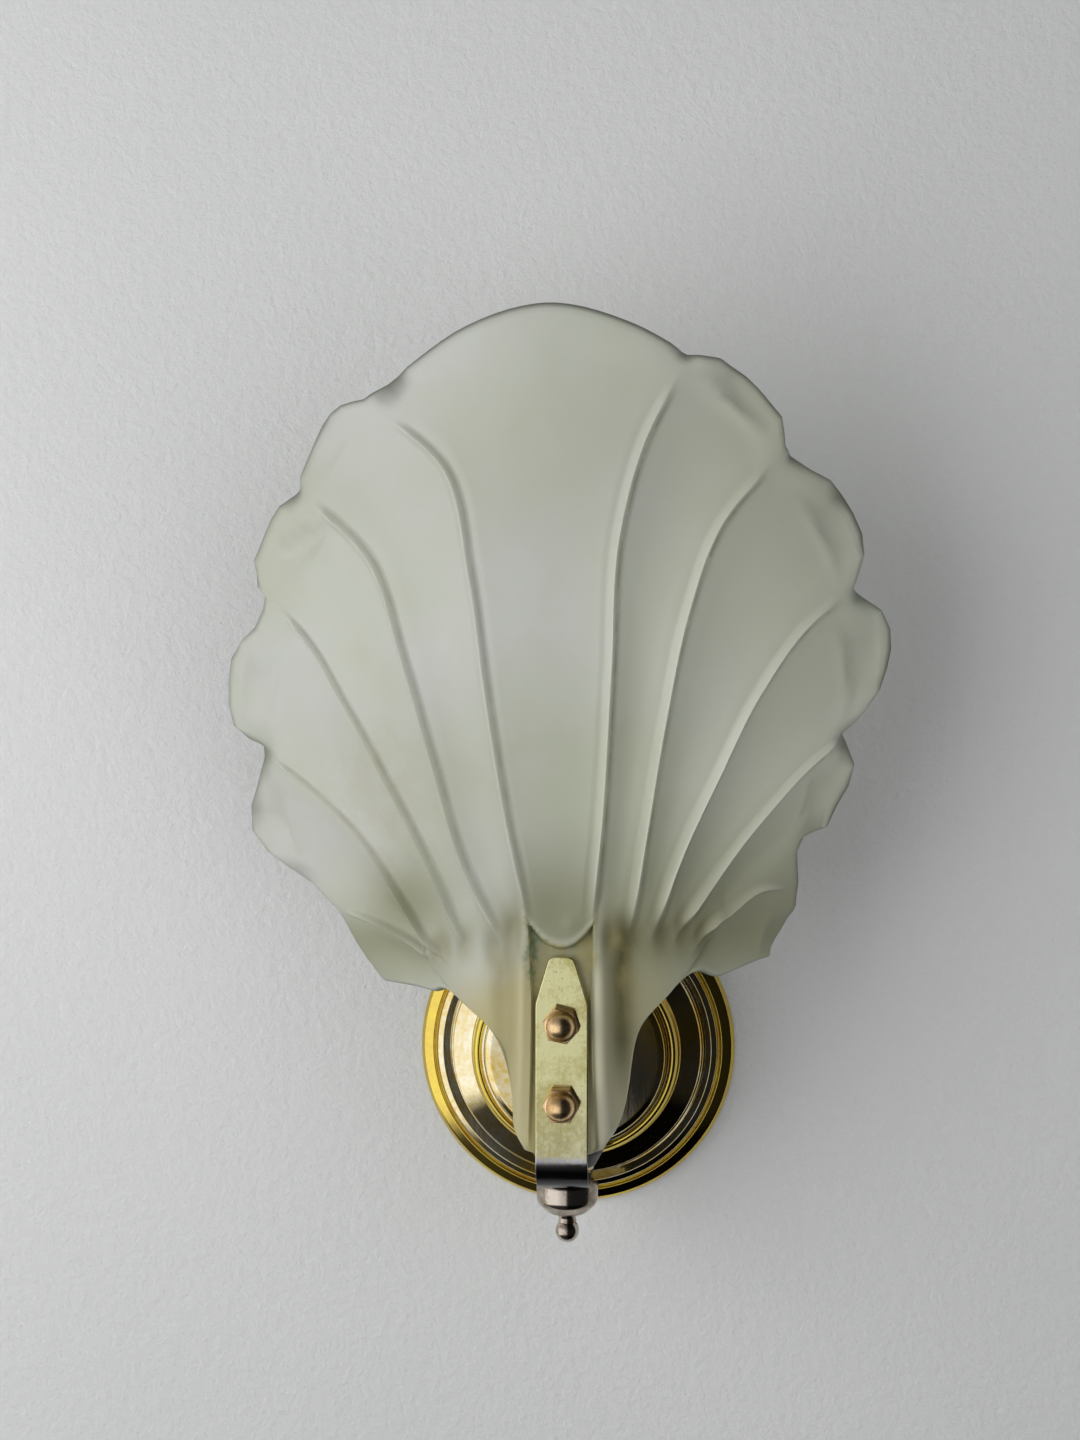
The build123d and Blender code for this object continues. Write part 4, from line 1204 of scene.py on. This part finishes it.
    def weld(self, front: np.ndarray, back: np.ndarray, marks: dict[str, np.ndarray]) -> Piece:
        """Lay two grids on the skins' points and join them along the rim.

        Args:
            front: The front skin's points, in metres.
            back: The back skin's points, in metres.
            marks: Numbers for each point, which the mesh keeps.

        Returns:
            The shade.
        """
        rows, columns = front.shape[:2]
        bm = bmesh.new()
        layers = {name: bm.verts.layers.float.new(name) for name in marks}
        for skin in (front, back):
            made = bmesh.ops.create_grid(bm, x_segments=columns - 1, y_segments=rows - 1, size=1.0)
            for vert in made["verts"]:
                column = round((vert.co.x + 1) / 2 * (columns - 1))
                row = round((vert.co.y + 1) / 2 * (rows - 1))
                vert.co = skin[row, column]
                for name, layer in layers.items():
                    vert[layer] = float(marks[name][row, column])
        bmesh.ops.remove_doubles(bm, verts=bm.verts, dist=2e-6)
        return finish_mesh(bm, "shell_shade", Matrix.Identity(4), 60.0)


# ---------------------------------------------------------------- metalwork
@dataclass
class Canopy:
    """Spun wall plate: rolled rim, bead, cove, crowned band, ring and a slightly domed disc."""

    radius: float = 52.9
    out: float = 21.95
    sheet: float = 0.8
    bore: float = 5.3
    disc: float = 30.0  # inside this radius the face must point out of the wall
    clearance: float = 0.1  # between the wall and the sheet
    gilt_rim: float = 47.4  # the rim is gilt from here outwards
    gilt_ring: Span = (31.2, 34.9)

    def outline(self) -> Points:
        """The face as (radius, out), from the wall to the tube hole.

        Returns:
            The outline's points in order.
        """
        return softened([
            (self.radius, 0.1, 0), (52.8, 1.6, 1.6), (51.7, 3.6, 2.4), (48.3, 5.1, 0.5), (47.8, 3.9, 0.4),
            (47.3, 3.9, 0.3), (46.9, 6.1, 0.7), (45.0, 6.8, 0.6), (42.0, 5.8, 0.3), (41.4, 8.4, 0.4),
            (34.7, 12.7, 0.8), (34.0, 16.6, 1.0), (33.0, 18.1, 1.2), (31.7, 18.0, 0.5), (31.2, 17.1, 0.3),
            (30.3, 17.3, 0.4), (29.8, 20.2, 1.4), (27.9, 21.2, 1.6), (14.0, self.out, 20.0),
            (self.bore, self.out, 0),
        ], 5)

    def build(self) -> Piece:
        """Spin the face and give it the sheet's thickness towards the wall.

        Returns:
            The new object.
        """
        bm = bmesh.new()
        lathe(bm, self.outline(), 160)
        bmesh.ops.recalc_face_normals(bm, faces=bm.faces)
        disc = [face for face in bm.faces if face.calc_center_median().length < self.disc * MM]
        if sum(face.normal.z for face in disc) < 0:
            bmesh.ops.reverse_faces(bm, faces=bm.faces)
        shell = bmesh.ops.solidify(bm, geom=bm.faces[:], thickness=self.sheet * MM)
        for vert in (part for part in shell["geom"] if isinstance(part, Vert)):
            vert.co.z = max(vert.co.z, self.clearance * MM)
        gilt = bm.verts.layers.float.new("gilt")
        for vert in bm.verts:
            radius = from_axis(vert)
            on_ring = self.gilt_ring[0] < radius < self.gilt_ring[1]
            vert[gilt] = 1.0 if radius > self.gilt_rim or on_ring else 0.0
        return finish_mesh(bm, "spun_canopy", Axis.WALL.matrix())


@dataclass
class Strip:
    """The flat strip, bent up the plate, under the lampholder and up the front of the glass."""

    width: float = 16.0
    thick: float = 2.0
    rear_out: float = 22.0
    rear_top: float = 12.0
    bottom: float = -30.0
    heel: float = 10.0  # radius of the bend under the plate
    toe: float = 12.0  # radius of the bend under the glass
    flat_before_crease: float = 1.2
    top: float = 43.0
    tip_width: float = 7.4
    tip_corner: float = 1.6
    tip_lean: float = 0.9
    tip_steps: Shares = (0.02, 0.3, 0.6, 0.8, 0.9, 0.95, 0.98, 1.0)
    blunt: float = 0.3  # square of half the flat at the round rear end
    edge_round: float = 0.35
    marked: float = 16.0  # the painted reflections stay this near the front face
    pale_reflection: Span = (-17.0, -19.5)  # heights over which the bend gets a painted pale reflection
    # heights over which the bend gets a painted dark reflection, where it faces the floor
    dark_reflection_heights: Span = (-20.6, -23.0)
    # how dark that painted reflection gets
    dark_reflection: float = 0.95

    @property
    def end_centre(self) -> float:
        """Height of the centre of the round rear end."""
        return self.rear_top - self.width / 2

    def route(self) -> Points:
        """Side view of the strip's outer face as (out, z), from its rear end to its tip.

        Returns:
            The route's points in order.
        """
        rear = [(self.rear_out, z, 0) for z in np.linspace(self.rear_top, self.end_centre, 7)]
        under = [(self.rear_out, self.bottom, self.heel), (STRIP_OUT, self.bottom, self.toe)]
        front = [(STRIP_OUT, z, 0) for z in (8.0, CREASE - self.flat_before_crease)]
        tip = [(STRIP_OUT + self.tip_lean * t, CREASE + (self.top - CREASE) * t, 0) for t in self.tip_steps]
        return softened(rear + under + front + tip, 14)

    def half_width(self, out: float, z: float) -> float:
        """Half the strip's width at a point of its route.

        Args:
            out: How far the point stands out from the wall.
            z: Its height.

        Returns:
            Millimetres; less than half the full width only in the tapered tip and the round rear end.
        """
        full = self.width / 2
        if out <= (self.rear_out + STRIP_OUT) / 2:
            into_end = max(z - self.end_centre, 0.0)
            return math.sqrt(max(full**2 - into_end**2, self.blunt))
        if z <= CREASE:
            return full
        half = full + (self.tip_width / 2 - full) * (z - CREASE) / (self.top - CREASE)
        into_corner = max(z - (self.top - self.tip_corner), 0.0)
        return half - self.tip_corner + math.sqrt(max(self.tip_corner**2 - into_corner**2, 0.0))

    def build(self) -> Piece:
        """Extrude the route sideways, draw in its ends, thicken it and round its edges.

        Returns:
            The new object.
        """
        bm = bmesh.new()
        chain = [bm.verts.new((-self.half_width(out, z) * MM, -out * MM, z * MM)) for out, z in self.route()]
        edges = [bm.edges.new(pair) for pair in zip(chain, chain[1:])]
        made = bmesh.ops.extrude_edge_only(bm, edges=edges)
        for vert in (part for part in made["geom"] if isinstance(part, Vert)):
            vert.co.x = -vert.co.x
        bmesh.ops.recalc_face_normals(bm, faces=bm.faces)
        lowest = min(bm.faces, key=lambda face: face.calc_center_median().z)
        if lowest.normal.z > 0:
            bmesh.ops.reverse_faces(bm, faces=bm.faces)
        bmesh.ops.solidify(bm, geom=bm.faces[:], thickness=self.thick * MM)
        bmesh.ops.recalc_face_normals(bm, faces=bm.faces)
        limit = math.radians(60)
        inner = [edge for edge in bm.edges if len(edge.link_faces) == 2]
        sharp = [edge for edge in inner if edge.calc_face_angle(0.0) > limit]
        bmesh.ops.bevel(bm, geom=sharp, offset=self.edge_round * MM, segments=3, profile=0.5,
                        affect="EDGES", material=-1)
        # painted pale and dark reflections in the bend, where it faces down, on the front side only
        pale_reflection, dark_reflection = (bm.verts.layers.float.new(name) for name in ("pale_reflection", "dark_reflection"))
        for vert in bm.verts:
            height = vert.co.z / MM
            marked = -vert.co.y / MM > STRIP_OUT - self.marked
            vert[pale_reflection] = float(ramp(height, *self.pale_reflection)) if marked else 0.0
            vert[dark_reflection] = float(ramp(height, *self.dark_reflection_heights)) * self.dark_reflection if marked else 0.0
        return finish_mesh(bm, "bent_strip", Matrix.Identity(4), 12.0)


@dataclass
class CapNut:
    """Domed hexagon nut on the strip."""

    name: str
    height: float
    turn: float
    flats: float = 10.0
    collar: float = 4.4  # height of the hexagon
    chamfer: float = 0.55
    corner_round: float = 0.25
    neck: float = 4.85
    dome: float = 4.4
    dome_base: float = 4.9
    dome_rise: float = 4.1

    def hexagon(self, bm: Mesh) -> None:
        """Add the chamfered hexagon, with rounded corners.

        Args:
            bm: The nut's mesh, still empty.
        """
        corner = self.flats / math.sqrt(3) * MM
        made = bmesh.ops.create_cone(bm, cap_ends=True, cap_tris=False, segments=6, radius1=corner,
                                     radius2=corner, depth=self.collar * MM)
        turn = Matrix.Rotation(math.radians(self.turn), 4, "Z")
        place = Matrix.Translation((0, 0, self.collar / 2 * MM)) @ turn
        bmesh.ops.transform(bm, matrix=place, verts=made["verts"])
        rims = [edge for edge in bm.edges if abs(edge.verts[0].co.z - edge.verts[1].co.z) < 1e-6]
        bmesh.ops.bevel(bm, geom=rims, offset=self.chamfer * MM, segments=3, profile=0.6,
                        affect="EDGES", material=-1)
        uprights = [edge for edge in bm.edges if abs(edge.verts[0].co.z - edge.verts[1].co.z) > 2 * MM]
        bmesh.ops.bevel(bm, geom=uprights, offset=self.corner_round * MM, segments=2, profile=0.5,
                        affect="EDGES", material=-1)

    def build(self) -> Piece:
        """Set a turned neck and dome on the hexagon, and the nut on the strip.

        Returns:
            The new object.
        """
        bm = bmesh.new()
        self.hexagon(bm)
        base = self.collar - 0.2
        neck = softened([
            (0.0, base, 0), (self.neck, base, 0.1), (self.neck, self.collar + 0.1, 0.2),
            (self.dome, self.dome_base - 0.1, 0.3),
        ], 3)
        dome = [(self.dome * math.cos(turn), self.dome_base + self.dome_rise * math.sin(turn))
                for turn in np.linspace(0, math.pi / 2, 14)]
        lathe(bm, neck + dome[:-1] + [(0.0, self.dome_base + self.dome_rise)], 48)
        place = Matrix.Translation((0, -STRIP_OUT * MM, self.height * MM)) @ Axis.WALL.matrix()
        return finish_mesh(bm, self.name, place, 13.0)


@dataclass
class Finial:
    """Turned finial under the strip: flattened bead, waist, collar and ball."""

    top: float = -30.02
    bead: float = 9.65  # corner radius of the bead before it is rounded
    ball: float = 3.75
    ball_at: float = -48.2

    def build(self) -> Piece:
        """Turn the outline about the lamp's axis.

        Returns:
            The new object.
        """
        upper = [(0.0, self.top, 0), (7.1, self.top, 0.4), (7.6, -31.2, 0.8)]
        bead = [(self.bead, -32.9, 2.8), (self.bead, -38.9, 3.4), (6.2, -42.3, 2.4)]
        waist = [(3.1, -42.9, 0.8), (2.7, -44.2, 1.0), (2.9, -45.4, 0.4)]
        ball = [(self.ball * math.cos(turn), self.ball_at + self.ball * math.sin(turn))
                for turn in np.linspace(0.82, -math.pi / 2, 16)]
        outline = softened(upper + bead + waist, 7) + ball[:-1] + [(0.0, self.ball_at - self.ball)]
        return turned("turned_finial", outline, Axis.LAMP, 50.0)


# ---------------------------------------------------------------- lampholder and lamp
@dataclass
class LampHolder:
    """Moulded holder in two halves: a plain cup and a sleeve with grip flutes."""

    radius: float = 12.0
    cup_radius: float = 11.4
    cup_wall: float = 1.6
    grips: int = 12
    grip_depth: float = 0.55
    grip_band: Span = (-7.0, 5.0)  # heights that the flutes run over
    grip_from: float = 11.0  # only the outside is fluted, from this radius out

    def cup(self) -> Piece:
        """The lower half.

        Returns:
            The new object.
        """
        outer, inner = self.cup_radius, self.cup_radius - self.cup_wall
        return turned("moulded_cup", softened([
            (5.2, -27.15, 0), (8.8, -27.15, 0.6), (outer, -22.4, 2.0), (outer, -8.1, 0.3), (inner, -8.1, 0.3),
            (inner, -21.0, 1.5), (6.7, -24.0, 1.0), (6.4, -15.1, 0.3), (5.2, -15.1, 0), (5.2, -27.15, 0),
        ], 4), Axis.LAMP)

    def sleeve(self) -> Piece:
        """The upper half, with its mouth drawn in.

        Returns:
            The new object.
        """
        bm = bmesh.new()
        verts = lathe(bm, softened([
            (9.8, -7.9, 0), (self.radius - 0.4, -7.9, 0.3), (self.radius, -7.3, 0.3), (self.radius, -4.0, 0),
            (self.radius, 0.0, 0), (self.radius, 5.4, 0.8), (10.7, 8.6, 1.0), (10.6, 13.6, 0.8),
            (10.0, 14.95, 0.5), (8.5, 14.95, 0.3), (8.4, 10.0, 0.5), (9.8, 7.0, 0.5), (9.8, -7.9, 0),
        ], 4), 216)
        for vert in verts:
            radius = from_axis(vert)
            if radius > self.grip_from and self.grip_band[0] < vert.co.z / MM < self.grip_band[1]:
                angle = math.atan2(vert.co.y, vert.co.x)
                pinch = self.grip_depth * max(math.cos(self.grips * angle), 0.0) ** 3
                vert.co.xy *= (radius - pinch) / radius
        return finish_mesh(bm, "grip_sleeve", Axis.LAMP.matrix())


@dataclass
class CandleLamp:
    """Candle-shaped lamp: thin glass envelope in a threaded cap."""

    bottom: float = 11.05
    neck: float = 6.28
    neck_top: float = 17.5
    painted_highlight: Span = (14.55, 31.2)
    bulge: Span = (17.45, 47.0)
    flank: Span = (13.75, 71.2)
    top: float = 94.95
    tip: float = 3.45  # radius of the round tip
    skin: float = 0.7
    pitch: float = 3.0
    thread: float = 0.14
    threaded: Span = (-1.2, 12.5)  # heights that the thread runs over

    def envelope(self) -> Piece:
        """The glass, a closed skin with its inner face.

        Returns:
            The new object.
        """
        tip_at = self.top - self.tip
        slant = self.tip * math.cos(math.pi / 6)
        neck_end, join = (self.neck, self.neck_top), (slant, tip_at + self.tip / 2)
        outline = [(0.0, self.bottom), (self.neck - 0.5, self.bottom), (self.neck, self.bottom + 0.55)]
        outline += [neck_end]
        outline += arc_through(neck_end, self.painted_highlight, self.bulge)
        outline += arc_through(self.bulge, self.flank, join, 40)
        outline += arc_through(join, (self.tip / 2, tip_at + slant), (0.0, self.top), 10)[:-1]
        outline += [(0.0, self.top)]
        bm = bmesh.new()
        lathe(bm, outline)
        bmesh.ops.recalc_face_normals(bm, faces=bm.faces)
        floor = self.bottom + 0.75
        lathe(bm, [(max(r - self.skin, 0.0), max(z, floor) if z < 50 else z - self.skin * max(0.0, 1 - r / 8))
                   for r, z in outline])
        return finish_mesh(bm, "candle_envelope", Axis.LAMP.matrix())

    def cap(self) -> Piece:
        """The metal cap, with a rolled thread.

        Returns:
            The new object.
        """
        bm = bmesh.new()
        foot = [(5.1, -2.9, 0), (6.3, -2.3, 0.5)]
        wall = [(6.75, z, 0) for z in np.linspace(-1.0, 14.0, 61)]
        flare = [(6.9, 14.6, 0.4), (7.95, 16.4, 0.5), (7.95, 17.15, 0.3), (7.3, 17.15, 0.2), (6.4, 15.2, 0)]
        for vert in lathe(bm, softened(foot + wall + flare, 3), 64):
            height = vert.co.z / MM
            if self.threaded[0] < height < self.threaded[1]:
                turns = math.atan2(vert.co.y, vert.co.x) / (2 * math.pi)
                wave = self.thread * math.sin(2 * math.pi * (height / self.pitch - turns))
                radius = from_axis(vert)
                vert.co.xy *= (radius + wave) / radius
        return finish_mesh(bm, "threaded_cap", Axis.LAMP.matrix())


# ---------------------------------------------------------------- finishes of this sconce
SHADE_GLASS = FrostedGlass("frosted_green_glass")
GILT_STRIP = Plating("pale_gilt", (0.88, 0.85, 0.47), (0.72, 0.65, 0.24), 0.45, 0.09, 60, dull=0.12,
                     pale_reflection=(0.60, 0.59, 0.64), pits=0.8)
GILT_PLATE = Plating("old_gilt", (0.88, 0.82, 0.62), (0.74, 0.53, 0.13), 0.48, 0.05, 42, dull=0.07,
                     gilt=(0.84, 0.66, 0.11), pits=0.4)
COPPER_BRASS = Plating("rubbed_brass", (1.0, 0.72, 0.42), (0.76, 0.48, 0.20), 0.46, 0.27, 160, dull=0.12)
WARM_NICKEL = Plating("warm_nickel", (0.60, 0.53, 0.46), (0.24, 0.18, 0.12), 0.42, 0.14, 120, dull=0.14)
TURNED_BRASS = Plating("turned_brass", (0.78, 0.62, 0.34), (0.40, 0.29, 0.13), 0.35, 0.22, 150)
ZINC = Plating("zinc_plate", (0.66, 0.67, 0.68), (0.40, 0.40, 0.38), 0.35, 0.30, 110)
CAP_METAL = Plating("drawn_cap", (0.80, 0.80, 0.79), (0.55, 0.54, 0.52), 0.30, 0.20, 130)
BLACK = Moulded("black_moulding", (0.030, 0.029, 0.028), (0.018, 0.018, 0.019), 0.28, 500)
WHITE = Moulded("white_nylon", (0.78, 0.77, 0.72), (0.68, 0.67, 0.62), 0.45, 700)
CERAMIC = Moulded("glazed_ceramic", (0.82, 0.80, 0.74), (0.72, 0.70, 0.63), 0.16, 300)
RUBBER = Moulded("black_rubber", (0.060, 0.057, 0.052), (0.035, 0.033, 0.031), 0.62, 800, 0.00006)
FELT = Moulded("green_felt", (0.16, 0.20, 0.13), (0.09, 0.12, 0.08), 0.85, 2600, 0.0001, 0.4)
LAMP_CLEAR = ClearGlass("lamp_glass", (0.95, 0.95, 0.93))
MOUNT_CLEAR = ClearGlass("mount_glass", (0.90, 0.92, 0.92), 0.03)

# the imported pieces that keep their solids
CARRIED: dict[Finish, tuple[str, ...]] = {
    ZINC: ("mounting_strap", "plate_tube", "strap_lock_nut", "shakeproof_washer", "holder_tube"),
    TURNED_BRASS: ("plate_nut", "terminal_screws", "earth_screw", "clamp_plate", "clamp_screws",
                   "holder_washer", "thread_sleeve", "centre_tongue", "holder_screws"),
    BLACK: ("tube_end_bush", "lamp_insulator"),
    WHITE: ("terminal_block",),
    CERAMIC: ("holder_core",),
    RUBBER: ("rear_pad", "hole_bushes"),
    FELT: ("front_felt",),
    CAP_METAL: ("lamp_contact", "lamp_filament"),
    MOUNT_CLEAR: ("lamp_mount",),
}
MATERIALS: dict[Finish, bpy.types.Material] = {}


def dress(piece: Piece, finish: Finish) -> None:
    """Give a piece its finish, which is built once.

    Args:
        piece: The piece to dress.
        finish: What it is dressed in.
    """
    if finish not in MATERIALS:
        MATERIALS[finish] = finish.make()
    piece.data.materials.clear()
    piece.data.materials.append(MATERIALS[finish])


def stand_in(piece: Piece, node: str, finish: Finish, body: Body = Body.SCONCE) -> None:
    """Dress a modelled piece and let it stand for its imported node.

    Args:
        piece: The modelled piece.
        node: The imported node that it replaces.
        finish: What it is dressed in.
        body: The body that it rides on.
    """
    dress(piece, finish)
    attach(piece, body.value)
    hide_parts(node)
    LOG.info("%s stands for %s: %d faces", piece.name, node, len(piece.data.polygons))


# ---------------------------------------------------------------- studio
@dataclass(frozen=True)
class SoftLight:
    """A square soft light that faces a point, in metres and watts."""

    name: str
    place: Place
    aim: Place
    size: float
    power: float

    def hang(self) -> None:
        """Put the light in the scene; reflections do not show it."""
        light = bpy.data.lights.new(self.name, "AREA")
        light.size, light.energy = self.size, self.power
        holder = bpy.data.objects.new(self.name, light)
        holder.visible_glossy = False
        holder.location = self.place
        holder.rotation_euler = (Vector(self.aim) - Vector(self.place)).to_track_quat("-Z", "Y").to_euler()
        bpy.context.scene.collection.objects.link(holder)


@dataclass
class Studio:
    """Pale plaster wall with window light from the left, and the camera, in metres."""

    wall_hole: float = 0.046
    wall_reach: float = 4.0
    wall_back: float = 0.0004  # the plaster lies this far behind the plate's edge
    lens: float = 64.5
    eye: Place = (0.048, -0.863, 0.157)
    turn: float = 4.034
    tip: float = 3.127
    lights: tuple[SoftLight, ...] = (
        SoftLight("window", (-0.56, -0.66, 0.14), (0.0, -0.05, 0.1), 0.9, 6.4),
        SoftLight("fill", (0.9, -1.6, 0.1), (0.0, 0.0, 0.1), 1.6, 8.0),
        SoftLight("behind_wall", (0.0, 0.5, 0.0), (0.0, 0.0, 0.0), 0.5, 1.2),
    )
    dim_room: Colour = (0.97, 0.985, 1.0)
    dim_strength: float = 0.19
    far_wall: Colour = (0.60, 0.61, 0.60)
    mirrored_strength: float = 1.85
    # grey levels that polished metal mirrors, by direction: left to right, and down to up
    mirrored_across: Line = ((-1, 1.0), (-0.55, 1.0), (-0.35, 0.72), (-0.1, 0.6), (-0.03, 0.55), (0.01, 0.12),
                             (0.05, 0.015), (1, 0.01))
    mirrored_upward: Line = ((-1, 0.02), (-0.62, 0.03), (-0.5, 0.62), (-0.24, 0.62), (0.15, 0.6), (0.4, 0.25),
                             (1, 0.12))

    def plaster(self) -> bpy.types.Material:
        """Pale plaster; seen from behind it is not there, so the back of the sconce stays in view.

        Returns:
            The new material.
        """
        paint = Paint("plaster_wall")
        clouds = paint.blotches(3.0, 3, 0.55, (0.35, 0.7))
        paint.cover(paint.blend(clouds, (0.74, 0.745, 0.74), (0.70, 0.71, 0.70)))
        paint.roughen(paint.spread(paint.noise(60), (0.3, 0.7), (0.8, 0.95)))
        paint.bump(paint.noise(260, 8, 0.7), 0.003, 0.5)
        nodes = paint.tree.nodes
        from_behind = nodes.new("ShaderNodeNewGeometry").outputs["Backfacing"]
        clear = nodes.new("ShaderNodeBsdfTransparent").outputs[0]
        surface = either(paint.tree, from_behind, paint.shader.outputs[0], clear)
        paint.link(surface, nodes["Material Output"].inputs["Surface"])
        return paint.material

    def wall(self) -> None:
        """A wall with the round box opening that the canopy covers."""
        bm = bmesh.new()
        rings = [bmesh.ops.create_circle(bm, segments=64, radius=radius)["verts"]
                 for radius in (self.wall_hole, self.wall_reach)]
        loops = {edge for ring in rings for vert in ring for edge in vert.link_edges}
        bmesh.ops.bridge_loops(bm, edges=list(loops))
        bmesh.ops.transform(bm, matrix=Axis.WALL.matrix(), verts=bm.verts)
        for vert in bm.verts:
            vert.co.y = self.wall_back
        bmesh.ops.recalc_face_normals(bm, faces=bm.faces)
        if sum(face.normal.y for face in bm.faces) > 0:
            bmesh.ops.reverse_faces(bm, faces=bm.faces)
        wall = as_object(bm, "wall")
        wall.data.materials.append(self.plaster())

    def levels(self, tree: bpy.types.NodeTree, value: Socket, stops: Line) -> Socket:
        """Grey levels that follow a value.

        Args:
            tree: The world's nodes.
            value: A number from -1 to 1.
            stops: The grey level at some of the value's numbers, from -1 to 1.

        Returns:
            The grey level.
        """
        spread, levels = tree.nodes.new("ShaderNodeMapRange"), tree.nodes.new("ShaderNodeValToRGB")
        spread.inputs["From Min"].default_value = -1.0
        tree.links.new(value, spread.inputs["Value"])
        tree.links.new(spread.outputs["Result"], levels.inputs["Fac"])
        points = levels.color_ramp.elements
        for place, _ in stops[1:-1]:
            points.new((place + 1) / 2)
        for point, (place, level) in zip(points, stops):
            point.position, point.color = (place + 1) / 2, (level, level, level, 1.0)
        return levels.outputs["Color"]

    def sky(self) -> None:
        """The room: dim and even for diffuse light, bright on the window's side for reflections."""
        world = bpy.data.worlds.new("room")
        bpy.context.scene.world = world
        world.use_nodes = True
        tree = world.node_tree
        nodes, link = tree.nodes, tree.links.new
        path = nodes.new("ShaderNodeLightPath").outputs
        direction, product = nodes.new("ShaderNodeSeparateXYZ"), nodes.new("ShaderNodeMath")
        link(nodes.new("ShaderNodeTexCoord").outputs["Generated"], direction.inputs[0])
        product.operation = "MULTIPLY"
        link(self.levels(tree, direction.outputs["X"], self.mirrored_across), product.inputs[0])
        link(self.levels(tree, direction.outputs["Z"], self.mirrored_upward), product.inputs[1])
        dim, mirrored, seen = nodes["Background"], *(nodes.new("ShaderNodeBackground") for _ in range(2))
        dim.inputs["Color"].default_value = (*self.dim_room, 1.0)
        dim.inputs["Strength"].default_value = self.dim_strength
        link(product.outputs[0], mirrored.inputs["Color"])
        mirrored.inputs["Strength"].default_value = self.mirrored_strength
        seen.inputs["Color"].default_value = (*self.far_wall, 1.0)
        room = either(tree, path["Is Glossy Ray"], dim.outputs[0], mirrored.outputs[0])
        room = either(tree, path["Is Camera Ray"], room, seen.outputs[0])
        link(room, nodes["World Output"].inputs["Surface"])

    def camera(self) -> None:
        """The camera at the photograph's viewing angle."""
        data = bpy.data.cameras.new("view")
        data.sensor_fit, data.sensor_width, data.lens = "AUTO", 36.0, self.lens
        eye = bpy.data.objects.new("view", data)
        eye.location = self.eye
        eye.rotation_euler = (math.radians(90 - self.tip), 0.0, math.radians(self.turn))
        bpy.context.scene.collection.objects.link(eye)
        bpy.context.scene.camera = eye

    def build(self) -> None:
        """Set everything round the sconce."""
        self.wall()
        for light in self.lights:
            light.hang()
        self.sky()
        self.camera()
        bpy.context.scene.view_settings.view_transform = "Standard"


def main() -> None:
    """Build and dress every piece."""
    logging.basicConfig(level=logging.INFO, format="%(name)s: %(message)s")
    stand_in(ShellShade().build(), "glass_shade", SHADE_GLASS)
    stand_in(Canopy().build(), "wall_plate", GILT_PLATE)
    stand_in(Strip().build(), "bracket_strip", GILT_STRIP)
    stand_in(CapNut("upper_cap_nut", 22.5, 18.0).build(), "cap_nut_upper", COPPER_BRASS)
    stand_in(CapNut("lower_cap_nut", -1.9, 30.0).build(), "cap_nut_lower", COPPER_BRASS)
    stand_in(Finial().build(), "finial", WARM_NICKEL)
    holder, lamp = LampHolder(), CandleLamp()
    stand_in(holder.cup(), "holder_cup", BLACK)
    stand_in(holder.sleeve(), "holder_shell", BLACK)
    stand_in(lamp.envelope(), "lamp_glass", LAMP_CLEAR, Body.LAMP)
    stand_in(lamp.cap(), "lamp_cap", CAP_METAL, Body.LAMP)
    for finish, nodes in CARRIED.items():
        for node in nodes:
            dress(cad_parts[node], finish)
            LOG.info("%s dressed in %s", node, finish.name)
    Studio().build()


if __name__ == "__main__":
    main()
